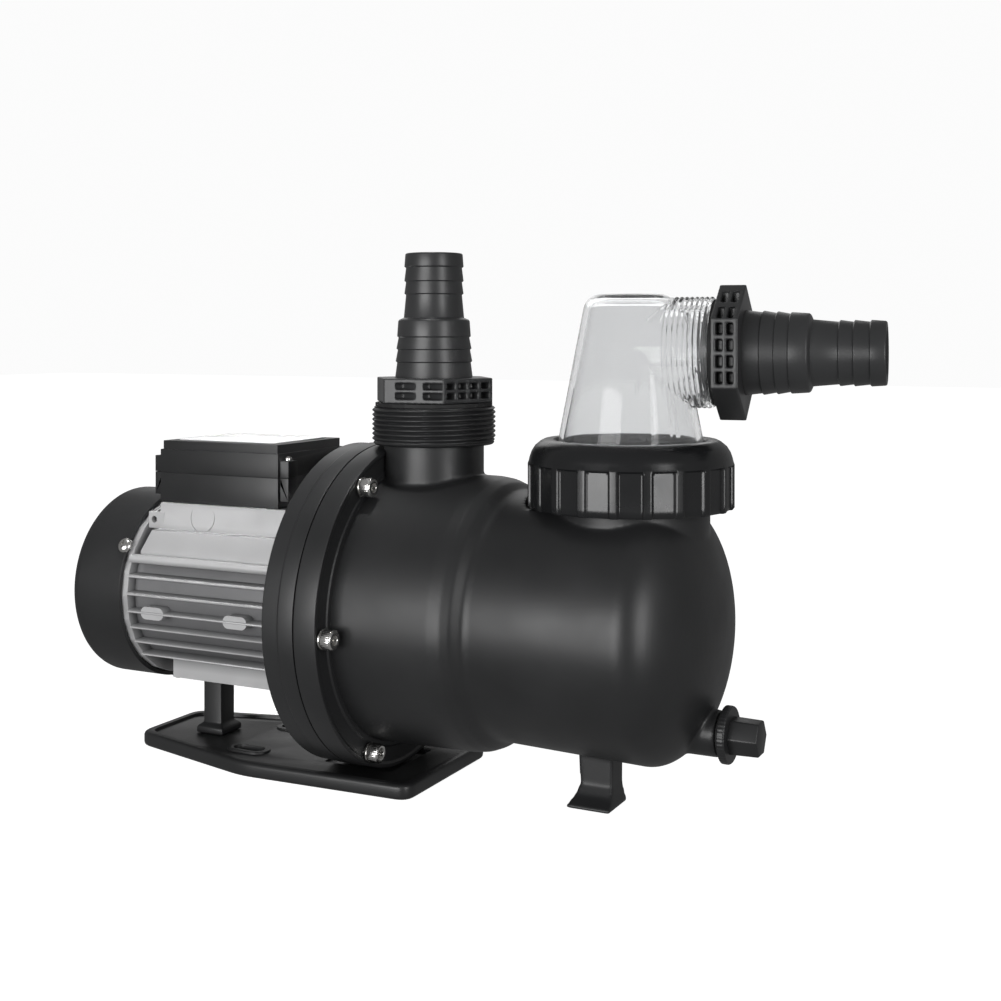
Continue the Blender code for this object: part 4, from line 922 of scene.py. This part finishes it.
def make_base():
    edge = rounded_outline(mirrored([(-202.0, 27.0), (-112.0, 50.0), (-6.0, 46.0)]), 9.0, 8)
    inner_edge = rounded_outline(mirrored([(-197.0, 22.5), (-112.0, 45.0), (-11.0, 41.0)]), 7.0, 8)
    base = prism("base_tray", edge, 0.0, BASE_RIM_Z, "black")
    finish_edges(base, 2.2, 4)
    well = prism("well", inner_edge, BASE_TOP_Z, 40.0)
    low, high = (FLANGE_BACK_X - 4.0, -23.0, TROUGH_Z), (FLANGE_FRONT_X + 5.0, 23.0, 20.0)
    trough = finish_edges(box("trough", [(low, high)]), 2.0, 4)
    joined(base, cuts=[well, trough])
    bosses, slots = [], []
    for side in (-1, 1):
        around = slot_outline(SLOT_X, side * SLOT_Y, 6.0, 7.4)
        through = slot_outline(SLOT_X, side * SLOT_Y, 6.0, 4.2)
        bosses.append(prism(f"boss_{side}", around, 1.0, BASE_TOP_Z + 1.2))
        slots.append(prism(f"slot_{side}", through, -5.0, 20.0))
    joined(base, bosses, slots)
    finish_edges(base, 0.4, 2)
    stands_for(base, "black_plastic", "pump", "base_plate")
    low = BASE_TOP_Z + GAP
    sections = [(AXIS_Z - 50.3, 6.5), (low + 6.0, 6.5), (low + 3.7, 9.5), (low, 9.5)]
    post = loft("motor_post_moulding", [(z, POST_X - r, POST_X + r, -r, r) for z, r in sections], "black")
    finish_edges(post, 0.8, 3)
    stands_for(post, "black_plastic", "pump", "motor_post")


# Studio


def make_studio():
    """A studio that is white to look at and through the clear elbow, but dim as light for black plastic."""
    world = bpy.data.worlds.new("studio")
    bpy.context.scene.world = world
    world.use_nodes = True
    nodes, links = world.node_tree.nodes, world.node_tree.links
    seen = nodes["Background"]
    seen.inputs["Color"].default_value = (1.0, 1.0, 1.0, 1.0)
    path = nodes.new("ShaderNodeLightPath")
    straight = nodes.new("ShaderNodeMath")
    straight.operation = "MAXIMUM"
    links.new(path.outputs["Is Camera Ray"], straight.inputs[0])
    links.new(path.outputs["Is Transmission Ray"], straight.inputs[1])
    strength = nodes.new("ShaderNodeMapRange")
    strength.inputs["To Min"].default_value = 0.22
    strength.inputs["To Max"].default_value = 0.97
    links.new(straight.outputs["Value"], strength.inputs["Value"])
    links.new(strength.outputs["Result"], seen.inputs["Strength"])
    bpy.ops.mesh.primitive_plane_add(size=12.0, location=(0, 0, -0.0004))
    floor = bpy.context.object
    floor.name = "studio_floor"
    floor.visible_diffuse = False
    floor.visible_glossy = False
    pale = Look("pale_floor", (0.34, 0.34, 0.34), 0.9)
    pale.set(Emission_Color=(1.0, 1.0, 1.0, 1.0), Emission_Strength=0.97, Specular_IOR_Level=0.0)
    floor.data.materials.append(pale.vary_colour(2.0, (0.35, 0.35, 0.35)).material)
    add_light("front", (-0.22, -1.35, 0.18), (0.9, 0.7), 15.0)
    add_light("right", (1.15, -0.62, 0.26), (0.3, 0.8), 7.0)
    add_light("top", (-0.15, -0.05, 1.2), (0.16, 0.12), 0.09, (-0.125, 0.0, 0.17), 12.0)
    add_light("back", (-0.7, 1.3, 0.9), (1.2, 0.8), 3.0)
    camera = bpy.data.cameras.new("camera")
    camera.lens = 50.8
    camera.sensor_width = 36.0
    camera.shift_y = -0.1667
    view = bpy.data.objects.new("camera", camera)
    bpy.context.scene.collection.objects.link(view)
    view.location = (0.3677, -0.6839, 0.2450)
    view.rotation_euler = (math.radians(90), 0, math.radians(26.6))
    bpy.context.scene.camera = view
    bpy.context.scene.view_settings.view_transform = "Standard"


def add_light(name, at, size, power, target=(0.0, 0.0, 0.12), spread=180.0):
    lamp = bpy.data.lights.new(name, "AREA")
    lamp.shape = "RECTANGLE"
    lamp.size, lamp.size_y = size
    lamp.energy = power
    lamp.spread = math.radians(spread)
    obj = bpy.data.objects.new(name, lamp)
    bpy.context.scene.collection.objects.link(obj)
    obj.visible_camera = False
    obj.location = at
    aim = Vector(target) - Vector(at)
    obj.rotation_euler = aim.to_track_quat("-Z", "Y").to_euler()


make_studio()
dress_cad_nodes()
make_body()
make_seal_plate()
make_flange_bolts()
make_ring()
make_elbow()
make_adapters()
make_drain_plug()
make_housing()
make_fan_cover()
make_terminal_box()
make_base()
